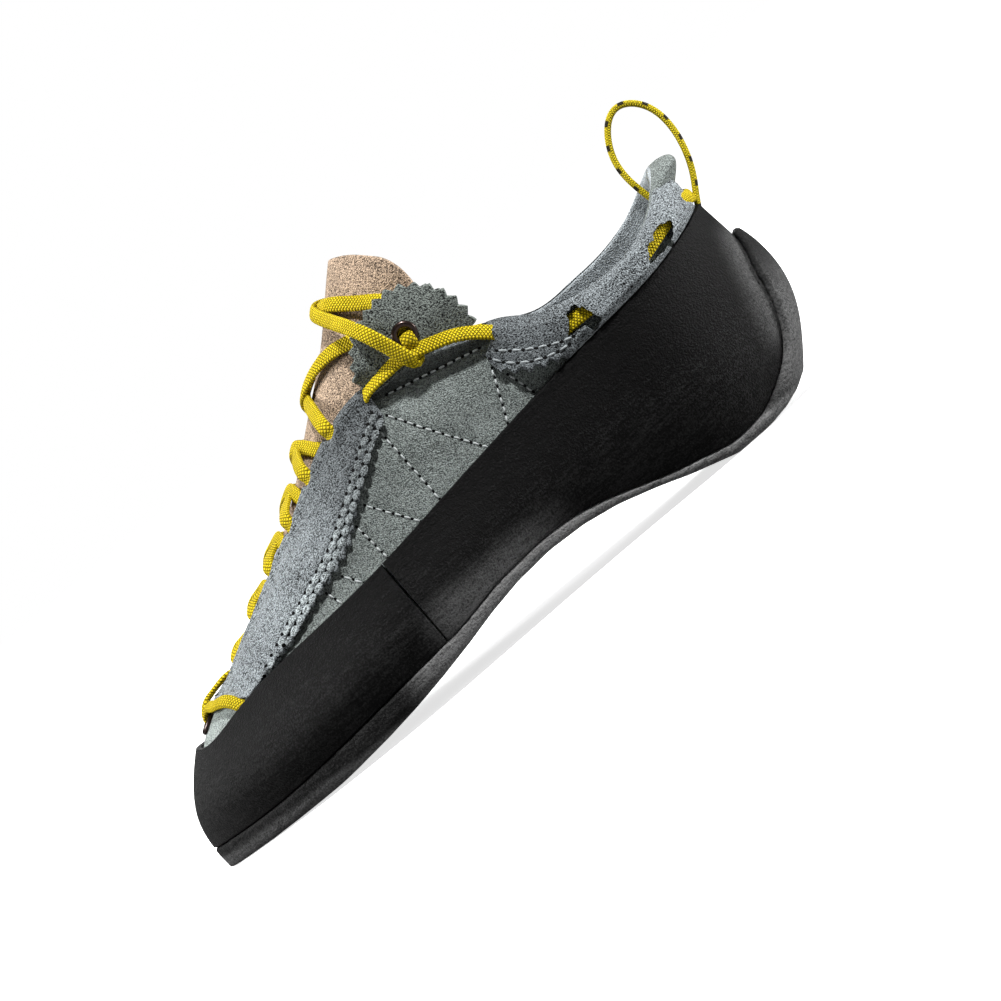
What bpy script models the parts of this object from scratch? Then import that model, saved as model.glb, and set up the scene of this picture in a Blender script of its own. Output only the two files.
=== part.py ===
"""Lace-up climbing shoe (left): toe at -X, heel at +X, outer side at -Y, standing on its sole."""

from collections import namedtuple
from math import cos, pi, sin

import bmesh
import bpy
import numpy as np
from mathutils import Vector

for old in list(bpy.data.objects):
    bpy.data.objects.remove(old)

MM = 0.001
GAP = 0.35
UPPER_WALL = 1.6
RAND_WALL = 2.0
OVERLAY_WALL = 1.3
SOLE_THICK = 5.0
MIDDLE_X, MIDDLE_Y = 124.7, -0.75

shoe = bpy.data.collections.new("climbing_shoe")
cutters = bpy.data.collections.new("cutters")
bpy.context.scene.collection.children.link(shoe)
bpy.context.scene.collection.children.link(cutters)


def material(name, colour, roughness, metallic=0.0):
    made = bpy.data.materials.new(name)
    made.use_nodes = True
    shader = made.node_tree.nodes["Principled BSDF"]
    shader.inputs["Base Color"].default_value = (*colour, 1.0)
    shader.inputs["Roughness"].default_value = roughness
    shader.inputs["Metallic"].default_value = metallic
    return made


RUBBER = material("black rubber", (0.02, 0.021, 0.023), 0.7)
SUEDE = material("grey suede", (0.34, 0.36, 0.35), 0.95)
FACING = material("blue grey suede", (0.33, 0.37, 0.40), 0.95)
TAN = material("tan suede", (0.52, 0.44, 0.34), 0.95)
YELLOW = material("yellow lace", (0.85, 0.55, 0.04), 0.8)
METAL = material("dark metal", (0.06, 0.045, 0.04), 0.4, 0.8)
BOARD = material("insole board", (0.10, 0.10, 0.10), 0.9)

# One row for each rib of the last, from the toe along the outer side to the heel and back (mm).
# sole: where the wall meets the sole. belly: how far the wall swells past it, and at what height.
# rand: top line of the rubber. crown: swell between there and the top edge. top: throat and collar.
Rib = namedtuple(
    "Rib", "sole_x sole_y sole_z belly_out belly_z rand_x rand_y rand_z crown top_x top_y top_z"
)
RIBS = (
    Rib(2.6, 13.0, 7.8, -1.6, 19.5, 17.3, 12.5, 35.6, 0.8, 31.0, 11.0, 43.0),
    Rib(12.0, -6.0, 8.3, 0.6, 20.0, 22.5, -3.5, 34.4, 1.8, 35.0, 5.0, 43.5),
    Rib(36.0, -27.0, 9.5, 1.4, 21.0, 43.0, -18.5, 38.4, 3.2, 57.0, -0.5, 55.0),
    Rib(78.0, -40.0, 13.4, 1.4, 24.0, 82.0, -33.5, 42.4, 4.2, 92.0, -12.0, 75.3),
    Rib(116.0, -36.5, 16.6, 2.2, 29.0, 119.0, -34.0, 47.4, 2.8, 123.0, -21.0, 88.0),
    Rib(150.0, -29.0, 17.2, 4.6, 31.0, 152.0, -31.0, 51.9, 1.2, 157.0, -25.0, 80.0),
    Rib(184.0, -24.5, 7.0, 5.4, 27.0, 187.0, -27.6, 55.9, 0.4, 191.0, -25.5, 68.8),
    Rib(211.0, -20.5, 5.2, 6.0, 27.0, 217.0, -23.4, 59.2, 0.3, 221.0, -20.5, 71.0),
    Rib(228.0, 0.0, 9.5, 13.0, 34.0, 238.4, 0.0, 65.4, 0.6, 237.5, 0.0, 86.0),
    Rib(211.0, 20.5, 5.2, 6.0, 27.0, 217.0, 23.4, 60.2, 0.3, 221.0, 20.5, 74.0),
    Rib(184.0, 22.5, 7.6, 5.6, 28.0, 187.0, 26.8, 57.0, 0.4, 191.0, 24.8, 72.0),
    Rib(150.0, 20.5, 19.0, 5.8, 33.0, 152.0, 26.6, 53.0, 1.2, 157.0, 23.5, 82.0),
    Rib(112.0, 26.5, 18.0, 4.2, 30.0, 117.0, 29.5, 48.0, 2.8, 123.0, 22.5, 88.0),
    Rib(70.0, 38.5, 12.6, 1.6, 23.0, 78.0, 33.5, 42.4, 4.2, 92.0, 19.5, 75.3),
    Rib(36.0, 34.5, 9.5, 1.6, 21.0, 43.0, 29.5, 38.4, 3.2, 57.0, 16.5, 55.0),
    Rib(12.0, 27.5, 8.3, 1.0, 20.0, 22.5, 23.0, 35.0, 1.8, 35.0, 16.5, 43.5),
)
LAPS = len(RIBS)
HEEL = LAPS // 2


def spline_bends(points, knots):
    """Second derivatives of the natural cubic spline through points at knots."""
    count = len(knots)
    system = np.eye(count)
    right = np.zeros_like(points)
    for i in range(1, count - 1):
        before = knots[i] - knots[i - 1]
        after = knots[i + 1] - knots[i]
        system[i, i - 1 : i + 2] = before, 2 * (before + after), after
        right[i] = 6 * ((points[i + 1] - points[i]) / after - (points[i] - points[i - 1]) / before)
    return np.linalg.solve(system, right)


def spline_at(points, knots, bends, at):
    i = int(np.clip(np.searchsorted(knots, at) - 1, 0, len(knots) - 2))
    span = knots[i + 1] - knots[i]
    far = (at - knots[i]) / span
    near = 1 - far
    curve = (near**3 - near) * bends[i] + (far**3 - far) * bends[i + 1]
    return near * points[i] + far * points[i + 1] + curve * span * span / 6


class Spline:
    """A smooth curve through points; its parameter runs 0, 1, 2 ... at the points."""

    def __init__(self, points, closed=False):
        points = np.array(points, float)
        self.closed = closed
        self.count = len(points)
        if closed:
            points = np.concatenate([points[-4:], points, points[:5]])
        self.first = -4 if closed else 0
        steps = np.linalg.norm(np.diff(points, axis=0), axis=1)
        self.points = points
        self.knots = np.concatenate([[0], np.cumsum(np.sqrt(steps))])
        self.bends = spline_bends(points, self.knots)

    def __call__(self, at):
        if self.closed:
            at = at % self.count
        at = at - self.first
        i = int(np.clip(np.floor(at), 0, len(self.knots) - 2))
        place = self.knots[i] + (at - i) * (self.knots[i + 1] - self.knots[i])
        return spline_at(self.points, self.knots, self.bends, place)


def rib_points(i):
    """The five points of rib i: sole edge, belly, rand top, shoulder and top edge."""
    rib = RIBS[i]
    ahead = RIBS[(i + 1) % LAPS]
    behind = RIBS[i - 1]
    along = np.array([ahead.sole_x - behind.sole_x, ahead.sole_y - behind.sole_y, 0.0])
    along /= np.linalg.norm(along)
    out = np.array([along[1], -along[0], 0.0])
    sole = np.array([rib.sole_x, rib.sole_y, rib.sole_z])
    rand = np.array([rib.rand_x, rib.rand_y, rib.rand_z])
    top = np.array([rib.top_x, rib.top_y, rib.top_z])
    belly = sole + out * rib.belly_out
    belly[2] = rib.belly_z
    swell = np.cross(top - rand, along)
    shoulder = (rand + top) / 2 - swell / np.linalg.norm(swell) * rib.crown
    return sole, belly, rand, shoulder, top


LINES = [Spline(line, closed=True) for line in zip(*(rib_points(i) for i in range(LAPS)))]
SOLE_EDGE, BELLY, RAND_TOP, SHOULDER, TOP_EDGE = range(5)


def wall(t, h):
    """A point of the upper's outer face: t counts ribs around the shoe, h counts lines up it."""
    return Spline([line(t) for line in LINES])(h)


def wall_normal(t, h):
    up = wall(t, min(h + 0.02, 4)) - wall(t, max(h - 0.02, 0))
    along = wall(t + 0.02, h) - wall(t - 0.02, h)
    out = np.cross(along, up)
    return out / np.linalg.norm(out)


def off_wall(t, h, away):
    return wall(t, h) + wall_normal(t, h) * away


def rib_at(x, line, side):
    """Where line is at length x on one side: the t there (side -1 outer, +1 inner)."""
    low, high = (0.35, HEEL - 0.05) if side < 0 else (LAPS - 0.35, HEEL + 0.05)
    for _ in range(40):
        middle = (low + high) / 2
        if LINES[line](middle)[0] < x:
            low = middle
        else:
            high = middle
    return (low + high) / 2


def spaced(start, stop, count):
    return [start + (stop - start) * i / count for i in range(count + 1)]


def placed(point):
    return Vector(((point[0] - MIDDLE_X) * MM, (point[1] - MIDDLE_Y) * MM, point[2] * MM))


def keep(name, mesh, finish):
    data = bpy.data.meshes.new(name)
    mesh.to_mesh(data)
    mesh.free()
    made = bpy.data.objects.new(name, data)
    data.materials.append(finish)
    shoe.objects.link(made)
    return made


def set_aside(tool):
    """Keep an object for Booleans only."""
    for group in tool.users_collection:
        group.objects.unlink(tool)
    cutters.objects.link(tool)
    tool.hide_render = True
    tool.display_type = "WIRE"


def sheet(name, columns, rows, place, thick, finish, ring=False, holes=(), flip=False):
    """A grid laid on a surface, given thickness inward by Solidify (place gives its outer face)."""
    mesh = bmesh.new()
    grid = [[mesh.verts.new(placed(place(t, r))) for r in rows] for t in columns]
    if ring:
        grid.append(grid[0])
    for j, (one, two) in enumerate(zip(grid, grid[1:])):
        for k in range(len(rows) - 1):
            if (j, k) not in holes:
                mesh.faces.new((one[k], two[k], two[k + 1], one[k + 1]))
    bmesh.ops.delete(mesh, geom=[v for v in mesh.verts if not v.link_faces], context="VERTS")
    if flip:
        bmesh.ops.reverse_faces(mesh, faces=mesh.faces)
    made = keep(name, mesh, finish)
    return thicken(made, thick)


def thicken(made, thick):
    solid = made.modifiers.new("thickness", "SOLIDIFY")
    solid.thickness = thick * MM
    solid.offset = -1.0
    solid.use_even_offset = True
    return made


def loft(name, rings, finish, caps=True):
    """A solid through closed rings of the same count."""
    mesh = bmesh.new()
    verts = [[mesh.verts.new(placed(p)) for p in ring] for ring in rings]
    count = len(rings[0])
    for one, two in zip(verts, verts[1:]):
        for k in range(count):
            after = (k + 1) % count
            mesh.faces.new((one[k], one[after], two[after], two[k]))
    if caps:
        mesh.faces.new(verts[0])
        mesh.faces.new(verts[-1])
    bmesh.ops.recalc_face_normals(mesh, faces=mesh.faces)
    return keep(name, mesh, finish)


# Columns around the shoe, closer together at the toe and heel.
STEPS = (5, 4, 3, 3, 3, 3, 3, 6)
outer_columns = [t for i, n in enumerate(STEPS) for t in spaced(i, i + 1, n)[:-1]]
columns = outer_columns + [LAPS - t for t in [HEEL, *outer_columns[:0:-1]]]


RAND_ROWS = spaced(SOLE_EDGE, RAND_TOP, 4)
UPPER_ROWS = RAND_ROWS + spaced(RAND_TOP, TOP_EDGE, 4)[1:]


upper = sheet(
    "upper",
    columns,
    UPPER_ROWS,
    lambda t, h: off_wall(t, h, 0),
    UPPER_WALL,
    SUEDE,
    ring=True,
)

# Rand: rubber over the upper up to its top line, in two lengths that butt at a seam each side.
SEAM_X = 96.0
SEAM_HALF = 0.004
outer_seam = rib_at(SEAM_X, BELLY, -1)
inner_seam = rib_at(SEAM_X, BELLY, 1)


def rand_piece(name, start, stop, between):
    made_columns = [start, *[t for t in between if start + 0.08 < t < stop - 0.08], stop]
    return sheet(
        name,
        made_columns,
        RAND_ROWS,
        lambda t, h: off_wall(t, h, GAP + RAND_WALL),
        RAND_WALL,
        RUBBER,
    )


rand_piece("heel_rand", outer_seam + SEAM_HALF, inner_seam - SEAM_HALF, columns)
around_toe = [t - LAPS for t in columns] + columns
rand_piece("toe_rand", inner_seam - LAPS + SEAM_HALF, outer_seam - SEAM_HALF, around_toe)

# Outsole: a dished plate under the wall, section by section, and a strip drawn up the back of the heel.
RAND_OUT = GAP + RAND_WALL
SoleRow = namedtuple("SoleRow", "x bottom crown bevel")
SOLE_ROWS = (
    SoleRow(0.0, 0.0, 0.0, 2.4),
    SoleRow(44.0, 0.0, 0.0, 2.4),
    SoleRow(52.0, 0.3, 0.3, 2.4),
    SoleRow(64.0, 1.7, 0.8, 2.4),
    SoleRow(76.0, 3.6, 1.4, 2.2),
    SoleRow(88.0, 5.9, 1.8, 2.0),
    SoleRow(100.0, 8.3, 1.6, 1.6),
    SoleRow(112.0, 11.2, 1.0, 1.2),
    SoleRow(124.0, 13.3, 0.4, 1.0),
    SoleRow(137.0, 14.2, 0.2, 1.0),
    SoleRow(150.0, 13.4, 0.2, 1.0),
    SoleRow(162.0, 11.2, 0.2, 1.0),
    SoleRow(174.0, 7.6, 0.2, 1.0),
    SoleRow(185.0, 3.7, 0.2, 1.0),
    SoleRow(194.0, 1.2, 0.2, 1.2),
    SoleRow(200.0, 0.0, 0.0, 1.2),
    SoleRow(214.0, 0.0, 0.0, 1.2),
    SoleRow(221.0, 0.6, 0.2, 1.2),
    SoleRow(228.0, 2.2, 0.1, 1.0),
    SoleRow(235.0, 5.6, 0.0, 1.0),
)
SHELF_IN = UPPER_WALL + 1.0
DISH_IN = 6.0
WRAP_SEAT = RAND_OUT + 0.5
WRAP_SPAN = 0.95

# Rows up the heel: height on the wall, half spread in ribs, thickness at the middle and at the edges.
WrapRow = namedtuple("WrapRow", "h spread middle edge")
WRAP_ROWS = (
    WrapRow(0.00, WRAP_SPAN, 3.7, 1.2),
    WrapRow(0.14, 0.76, 3.7, 1.6),
    WrapRow(0.34, 0.62, 3.7, 2.0),
    WrapRow(0.62, 0.53, 3.8, 2.2),
    WrapRow(0.95, 0.48, 3.8, 2.2),
    WrapRow(1.24, 0.42, 3.5, 2.1),
    WrapRow(1.44, 0.31, 3.0, 1.8),
    WrapRow(1.55, 0.14, 2.0, 1.3),
)


def mixed(one, two, share):
    return one + (two - one) * share


def eased(x):
    x = min(max(x, 0.0), 1.0)
    return x * x * (3 - 2 * x)


def sole_row(x):
    xs = [row.x for row in SOLE_ROWS]
    return SoleRow(x, *(float(np.interp(x, xs, column)) for column in list(zip(*SOLE_ROWS))[1:]))


def wrap_thick(row, f):
    return mixed(row.middle, row.edge, f * f)


def sole_rib(t):
    """Edge of the plate at rib t: its rim outside and inside, shelf and dish above, then below."""
    share = abs((t - HEEL) / WRAP_SPAN)
    heel = eased((1.25 - share) / 0.3)
    foot = wall(t, SOLE_EDGE)
    out = wall_normal(t, SOLE_EDGE)
    up = wall(t, 0.05) - foot
    seat = foot - up / np.linalg.norm(up) * GAP
    level = np.array([out[0], out[1], 0.0])
    level /= np.linalg.norm(level)
    ledge = WRAP_SEAT + wrap_thick(WRAP_ROWS[0], min(share, 1.0))
    rim_in = seat + out * mixed(RAND_OUT - 0.4, WRAP_SEAT, heel)
    rim_out = seat + out * mixed(RAND_OUT + 0.1, ledge, heel)
    shelf = seat - out * SHELF_IN
    dish = shelf - level * DISH_IN
    dish[2] = min(sole_row(dish[0]).bottom + SOLE_THICK, shelf[2])
    back = eased(1.2 - share)
    row = sole_row(rim_out[0])
    low = rim_out - level * mixed(0.4, 2.5, back)
    low[2] = sole_row(low[0]).bottom + mixed(row.crown + row.bevel, 0.6, back)
    low[2] = min(low[2], rim_out[2] - 0.6)
    bevel = rim_out - level * mixed(row.bevel, 8.0, back)
    bevel[2] = sole_row(bevel[0]).bottom + mixed(row.crown, 0.0, back)
    return rim_out, rim_in, shelf, dish, low, bevel


def middle_of(one, two, rise):
    point = (one + two) / 2
    point[2] = sole_row(point[0]).bottom + rise
    return point


TIP = 0.03
half_columns = [TIP, *outer_columns[1:], HEEL - TIP]


def sole_plate():
    mesh = bmesh.new()
    sides = []
    for t in half_columns:
        sides.append([[mesh.verts.new(placed(p)) for p in sole_rib(s)] for s in (t, LAPS - t)])
    top = []
    under = []
    for t in half_columns:
        outer, inner = sole_rib(t), sole_rib(LAPS - t)
        middle = middle_of(outer[3], inner[3], SOLE_THICK)
        middle[2] = min(middle[2], max(outer[3][2], inner[3][2]))
        top.append(mesh.verts.new(placed(middle)))
        under.append(mesh.verts.new(placed(middle_of(outer[5], inner[5], 0.0))))
    ledges = []
    for j in range(len(half_columns) - 1):
        for side in (0, 1):
            one, two = sides[j][side], sides[j + 1][side]
            for a, b in ((0, 1), (1, 2), (2, 3), (0, 4), (4, 5)):
                face = mesh.faces.new((one[a], two[a], two[b], one[b]))
                if (a, b) == (0, 1):
                    ledges.append((face, one, two))
            mesh.faces.new((one[3], two[3], top[j + 1], top[j]))
            mesh.faces.new((one[5], two[5], under[j + 1], under[j]))
    for j in (0, -1):
        one, two = sides[j]
        for a, b in ((0, 1), (1, 2), (2, 3), (0, 4), (4, 5)):
            face = mesh.faces.new((one[a], two[a], two[b], one[b]))
            if (a, b) == (0, 1) and j:
                ledges.append((face, one, two))
        mesh.faces.new((one[3], two[3], top[j]))
        mesh.faces.new((one[5], two[5], under[j]))
    return mesh, sides, ledges


def wrap_heel(mesh, sides, ledges):
    """Draw the rim's ledge up the back of the heel, row by row."""
    zone = [j for j, t in enumerate(half_columns) if HEEL - t <= WRAP_SPAN]
    base = [(half_columns[j], sides[j][0]) for j in zone]
    base += [(LAPS - half_columns[j], sides[j][1]) for j in reversed(zone)]
    kept = [rib for _, rib in base]
    for face, one, two in ledges:
        if one in kept and two in kept:
            mesh.faces.remove(face)
    reach = HEEL - half_columns[zone[0]]
    inner = [[rib[1] for _, rib in base]]
    outer = [[rib[0] for _, rib in base]]
    for row in WRAP_ROWS[1:]:
        spots = [(t - HEEL) / reach for t, _ in base]
        at = [HEEL + f * row.spread for f in spots]
        inner.append([mesh.verts.new(placed(off_wall(t, row.h, WRAP_SEAT))) for t in at])
        thick = [WRAP_SEAT + wrap_thick(row, f) for f in spots]
        outer.append([mesh.verts.new(placed(off_wall(t, row.h, a))) for t, a in zip(at, thick)])
    for rows in (inner, outer):
        for low, high in zip(rows, rows[1:]):
            for k in range(len(base) - 1):
                mesh.faces.new((low[k], low[k + 1], high[k + 1], high[k]))
    for k in range(len(base) - 1):
        mesh.faces.new((inner[-1][k], inner[-1][k + 1], outer[-1][k + 1], outer[-1][k]))
    for k in (0, -1):
        for i in range(len(inner) - 1):
            mesh.faces.new((inner[i][k], inner[i + 1][k], outer[i + 1][k], outer[i][k]))


plate, plate_sides, plate_ledges = sole_plate()
wrap_heel(plate, plate_sides, plate_ledges)
bmesh.ops.recalc_face_normals(plate, faces=plate.faces)
keep("outsole", plate, RUBBER)

# Insole: a thin bed on the sole's dish, inside the upper.
INSOLE_THICK = 1.6


def bed_edge(t):
    foot = wall(t, SOLE_EDGE)
    up = wall(t, 0.05) - foot
    return foot - wall_normal(t, SOLE_EDGE) * (UPPER_WALL + 1.4) + up / np.linalg.norm(up) * 0.4


def insole_section(t):
    outer, inner = sole_rib(t)[3], sole_rib(LAPS - t)[3]
    middle = middle_of(outer, inner, SOLE_THICK)
    middle[2] = min(middle[2], max(outer[2], inner[2]))
    lift = np.array([0, 0, 0.6])
    bed = [bed_edge(t), outer + lift, middle + lift, inner + lift, bed_edge(LAPS - t)]
    thick = np.array([0, 0, INSOLE_THICK])
    return bed + [p + thick for p in reversed(bed)]


loft("insole", [insole_section(t) for t in half_columns], BOARD)

# Tongue: half-oval sections square to its ridge line, tucked under the throat and free above.
TongueRow = namedtuple("TongueRow", "x z middle_y half drop")
TONGUE_ROWS = (
    TongueRow(35.0, 41.6, 10.8, 6.4, 5.0),
    TongueRow(45.0, 48.2, 9.6, 8.8, 7.0),
    TongueRow(60.0, 57.8, 8.0, 11.8, 10.0),
    TongueRow(76.0, 68.4, 6.0, 14.8, 13.0),
    TongueRow(92.0, 80.0, 4.0, 17.4, 16.0),
    TongueRow(106.0, 91.6, 2.4, 19.0, 19.0),
    TongueRow(120.0, 103.0, 1.4, 19.6, 20.0),
    TongueRow(132.0, 114.5, 1.0, 21.0, 20.0),
    TongueRow(142.5, 125.0, 0.8, 21.6, 19.0),
)
TONGUE_THICK = 1.8
ridge = Spline([(r.x, r.middle_y, r.z) for r in TONGUE_ROWS])
tongue_form = Spline([(r.half, r.drop, 0) for r in TONGUE_ROWS])


def tongue_at(s, w):
    """A point of the tongue's outer face: s along its ridge, w from -1 to 1 across."""
    along = ridge(min(s + 0.05, 8)) - ridge(max(s - 0.05, 0))
    along[1] = 0
    along /= np.linalg.norm(along)
    inward = np.array([along[2], 0, -along[0]])
    half, drop, _ = tongue_form(s)
    turn = w * pi / 2 * 0.96
    return ridge(s) + np.array([0, half * sin(turn), 0]) + inward * drop * (1 - cos(turn))


sheet("tongue", spaced(0, 8, 13), spaced(-1, 1, 8), tongue_at, TONGUE_THICK, TAN)


def on_side(x, z, side):
    """The t and h of the wall at length x and height z of the side view."""
    t = rib_at(x, SHOULDER, side)
    h = 3.0
    for _ in range(12):
        here = wall(t, h)
        by_t = (wall(t + 0.01, h) - here) / 0.01
        by_h = (wall(t, h + 0.01) - here) / 0.01
        turn = np.array([[by_t[0], by_h[0]], [by_t[2], by_h[2]]])
        move = np.linalg.solve(turn, [x - here[0], z - here[2]])
        t += float(np.clip(move[0], -0.4, 0.4))
        h = float(np.clip(h + np.clip(move[1], -0.5, 0.5), RAND_TOP, TOP_EDGE))
    return t, h


def on_edge(edge, t):
    """The h at rib t where a line drawn in side view, as (x, z) rows, crosses the wall."""
    xs, zs = zip(*edge)
    low, high = float(RAND_TOP), float(TOP_EDGE)
    for _ in range(30):
        middle = (low + high) / 2
        here = wall(t, middle)
        if here[2] < np.interp(here[0], xs, zs):
            low = middle
        else:
            high = middle
    return (low + high) / 2


# Eyestays: facings along the throat with a notch for the lace at each turn.
NOTCHES = (34.0, 43.0, 56.0, 69.0, 82.5, 96.0, 109.5)
NOTCH_HALF = 2.6
NOTCH_DEEP = 0.16
EYESTAY_FRONT, EYESTAY_BACK = 31.0, 123.5
EYESTAY_EDGE = (
    (30.0, 36.0),
    (60.0, 40.0),
    (66.0, 45.0),
    (75.0, 49.0),
    (85.0, 50.5),
    (92.0, 52.5),
    (98.0, 58.0),
    (108.0, 66.0),
    (122.0, 76.0),
    (126.0, 78.5),
)
OVER = GAP + OVERLAY_WALL


def eyestay(name, side):
    sides = (-NOTCH_HALF - 0.8, -NOTCH_HALF, NOTCH_HALF, NOTCH_HALF + 0.8)
    xs = [x + d for x in NOTCHES for d in sides] + [EYESTAY_BACK]
    xs = [x for x in xs if x >= EYESTAY_FRONT]
    tops = {x: rib_at(x, TOP_EDGE, side) for x in xs}
    feet = {x: rib_at(38.0 + 0.3 * (x - EYESTAY_FRONT), RAND_TOP, side) for x in xs}
    feet = {x: min(feet[x], tops[x]) if side > 0 else max(feet[x], tops[x]) for x in xs}
    low = {x: max(on_edge(EYESTAY_EDGE, feet[x]), RAND_TOP + 0.08) for x in xs}

    def place(x, r):
        notch = NOTCH_DEEP if any(abs(x - n) <= NOTCH_HALF for n in NOTCHES) else 0.0
        return off_wall(mixed(feet[x], tops[x], r), mixed(low[x], TOP_EDGE - notch, r), OVER + 0.25)

    return sheet(name, xs, spaced(0, 1, 4), place, OVERLAY_WALL, FACING, flip=side > 0)


eyestay("eyestay_lateral", -1)
eyestay("eyestay_medial", 1)

# Cuffs: collar tunnels, bowed off the upper so the lace passes, with two windows each.
CUFF_ROWS = (0.0, 0.18, 0.5, 0.82, 1.0)
CUFF_XS = (166.5, 169.0, 172.5, 177.5, 184.5, 192.5, 199.0, 206.0, 212.0, 218.0, 222.5, 227.0)
CUFF_WINDOWS = ((4, 1), (4, 2), (9, 1), (9, 2), (10, 1), (10, 2))
CUFF_BOW = 3.0
CUFF_BACK = 0.26
CUFF_FRONT = ((160.0, 70.0), (165.0, 64.0), (170.0, 58.0), (174.0, 50.0), (260.0, 50.0))


def cuff(name, side):
    stop = HEEL + side * CUFF_BACK
    made_columns = [rib_at(x, SHOULDER, side) for x in CUFF_XS]
    made_columns += spaced(made_columns[-1], stop, 4)[1:]
    low = {t: max(on_edge(CUFF_FRONT, t), RAND_TOP + 0.1) for t in made_columns}

    def place(t, r):
        return off_wall(t, mixed(low[t], TOP_EDGE, r), OVER + CUFF_BOW * min(1, 6 * r * (1 - r)))

    return sheet(
        name, made_columns, CUFF_ROWS, place, OVERLAY_WALL, FACING, holes=CUFF_WINDOWS, flip=side > 0
    )


cuff("cuff_lateral", -1)
cuff("cuff_medial", 1)

# Wings: pinked ankle flaps drawn in side view, standing a little off the upper.
WING_OUTLINE = (
    (125.5, 85.0),
    (124.6, 88.5),
    (125.6, 93.0),
    (128.5, 97.5),
    (131.8, 101.5),
    (137.0, 104.8),
    (143.0, 106.3),
    (149.0, 106.8),
    (155.0, 104.8),
    (160.0, 100.5),
    (163.4, 94.5),
    (164.9, 88.0),
    (164.4, 81.0),
    (159.0, 79.6),
    (148.0, 81.0),
    (136.0, 83.2),
)
WING_FOOT = 12
WING_EYELET = (145.2, 92.8)
EYELET_HOLE = 2.3
EYELET_FLANGE = 3.9
TOOTH_PITCH = 3.3
TOOTH = 0.7


def wing_y(x, z, side):
    """How far out the wing's outer face is at (x, z) of the side view."""
    t, h = on_side(x, z, side)
    rise = eased((z - 78.0) / 16.0)
    fold = eased((z - 98.0) / 10.0)
    return wall(t, h)[1] + side * (OVER + 1.6 + 2.6 * rise - 0.8 * fold)


def wing_edge():
    """The outline in side view as points half a tooth apart."""
    curve = Spline([(x, 0, z) for x, z in WING_OUTLINE], closed=True)
    run = np.array([curve(at) for at in spaced(0, len(WING_OUTLINE), 640)])
    length = np.concatenate([[0], np.cumsum(np.linalg.norm(np.diff(run, axis=0), axis=1))])
    count = 2 * round(length[-1] / TOOTH_PITCH)
    points = []
    for i in range(count):
        at = np.interp(length[-1] * i / count, length, spaced(0, len(WING_OUTLINE), 640))
        ahead = curve(at + 0.05) - curve(at - 0.05)
        out = np.array([-ahead[2], 0, ahead[0]]) / np.linalg.norm(ahead)
        tooth = TOOTH if at < WING_FOOT and i % 2 else 0.0
        points.append(curve(at) + out * tooth)
    return points


def wing(name, side):
    centre = np.array([WING_EYELET[0], 0, WING_EYELET[1]])
    edge = wing_edge()
    mesh = bmesh.new()
    rings = []
    for share in (0.0, 1.0):
        ring = []
        for point in edge:
            spoke = point - centre
            hole = centre + spoke / np.linalg.norm(spoke) * (EYELET_HOLE + 0.9)
            place = mixed(hole, point, share)
            place[1] = wing_y(place[0], place[2], side)
            ring.append(mesh.verts.new(placed(place)))
        rings.append(ring)
    count = len(edge)
    for one, two in zip(rings, rings[1:]):
        for k in range(count):
            after = (k + 1) % count
            face = (one[k], two[k], two[after], one[after])
            mesh.faces.new(face if side > 0 else face[::-1])
    return thicken(keep(name, mesh, FACING), OVERLAY_WALL)


wing("wing_lateral", -1)
wing("wing_medial", 1)


def eyelet(name, middle, out, deep):
    """A flanged ring: flange on the outer face, barrel through the leather."""
    out = Vector(out).normalized()
    across = out.orthogonal().normalized()
    other = out.cross(across)
    profile = (
        (EYELET_HOLE, -deep),
        (EYELET_HOLE + 0.5, -deep),
        (EYELET_HOLE + 0.5, 0.0),
        (EYELET_FLANGE, 0.0),
        (EYELET_FLANGE - 0.3, 0.6),
        (EYELET_HOLE + 0.3, 0.9),
    )
    rings = []
    for i in range(12):
        turn = 2 * pi * i / 12
        spoke = across * cos(turn) + other * sin(turn)
        rings.append([np.array(middle) + np.array(spoke * r + out * a) for r, a in profile])
    return loft(name, rings + rings[:1], METAL, caps=False)


def wing_point(x, z, side, away):
    """A point off the wing's outer face."""
    here = np.array([x, wing_y(x, z, side), z])
    by_x = np.array([1.0, (wing_y(x + 0.5, z, side) - wing_y(x - 0.5, z, side)), 0])
    by_z = np.array([0, (wing_y(x, z + 0.5, side) - wing_y(x, z - 0.5, side)), 1.0])
    out = np.cross(by_x, by_z) * -side
    out /= np.linalg.norm(out)
    if out[1] * side < 0:
        out = -out
    return here + out * away, out


for word, side in (("lateral", -1), ("medial", 1)):
    middle, out = wing_point(*WING_EYELET, side, GAP)
    eyelet("wing_eyelet_" + word, middle, out, OVERLAY_WALL + GAP)

# Toe eyelet, in the patch of upper between the rand and the throat.
TOE_EYELET = (0.12, 2.72)
toe_out = wall_normal(*TOE_EYELET)
toe_middle = off_wall(*TOE_EYELET, GAP)
eyelet("toe_eyelet", toe_middle, toe_out, UPPER_WALL + GAP)
bpy.ops.mesh.primitive_cylinder_add(
    vertices=16, radius=(EYELET_HOLE + 0.85) * MM, depth=8 * MM, location=placed(toe_middle)
)
punch = bpy.context.object
punch.name = "eyelet_punch"
punch.rotation_euler = Vector(toe_out).to_track_quat("Z", "Y").to_euler()
set_aside(punch)
cut = upper.modifiers.new("toe eyelet hole", "BOOLEAN")
cut.operation = "DIFFERENCE"
cut.solver = "EXACT"
cut.object = punch

# Laces: flat cords; each path row gives a point and the way its flat side faces.
LACE_WIDE = 4.5
LACE_THICK = 1.6
LACE_FORM = ((1, 0), (0.6, 1), (-0.6, 1), (-1, 0), (-0.6, -1), (0.6, -1))


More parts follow.
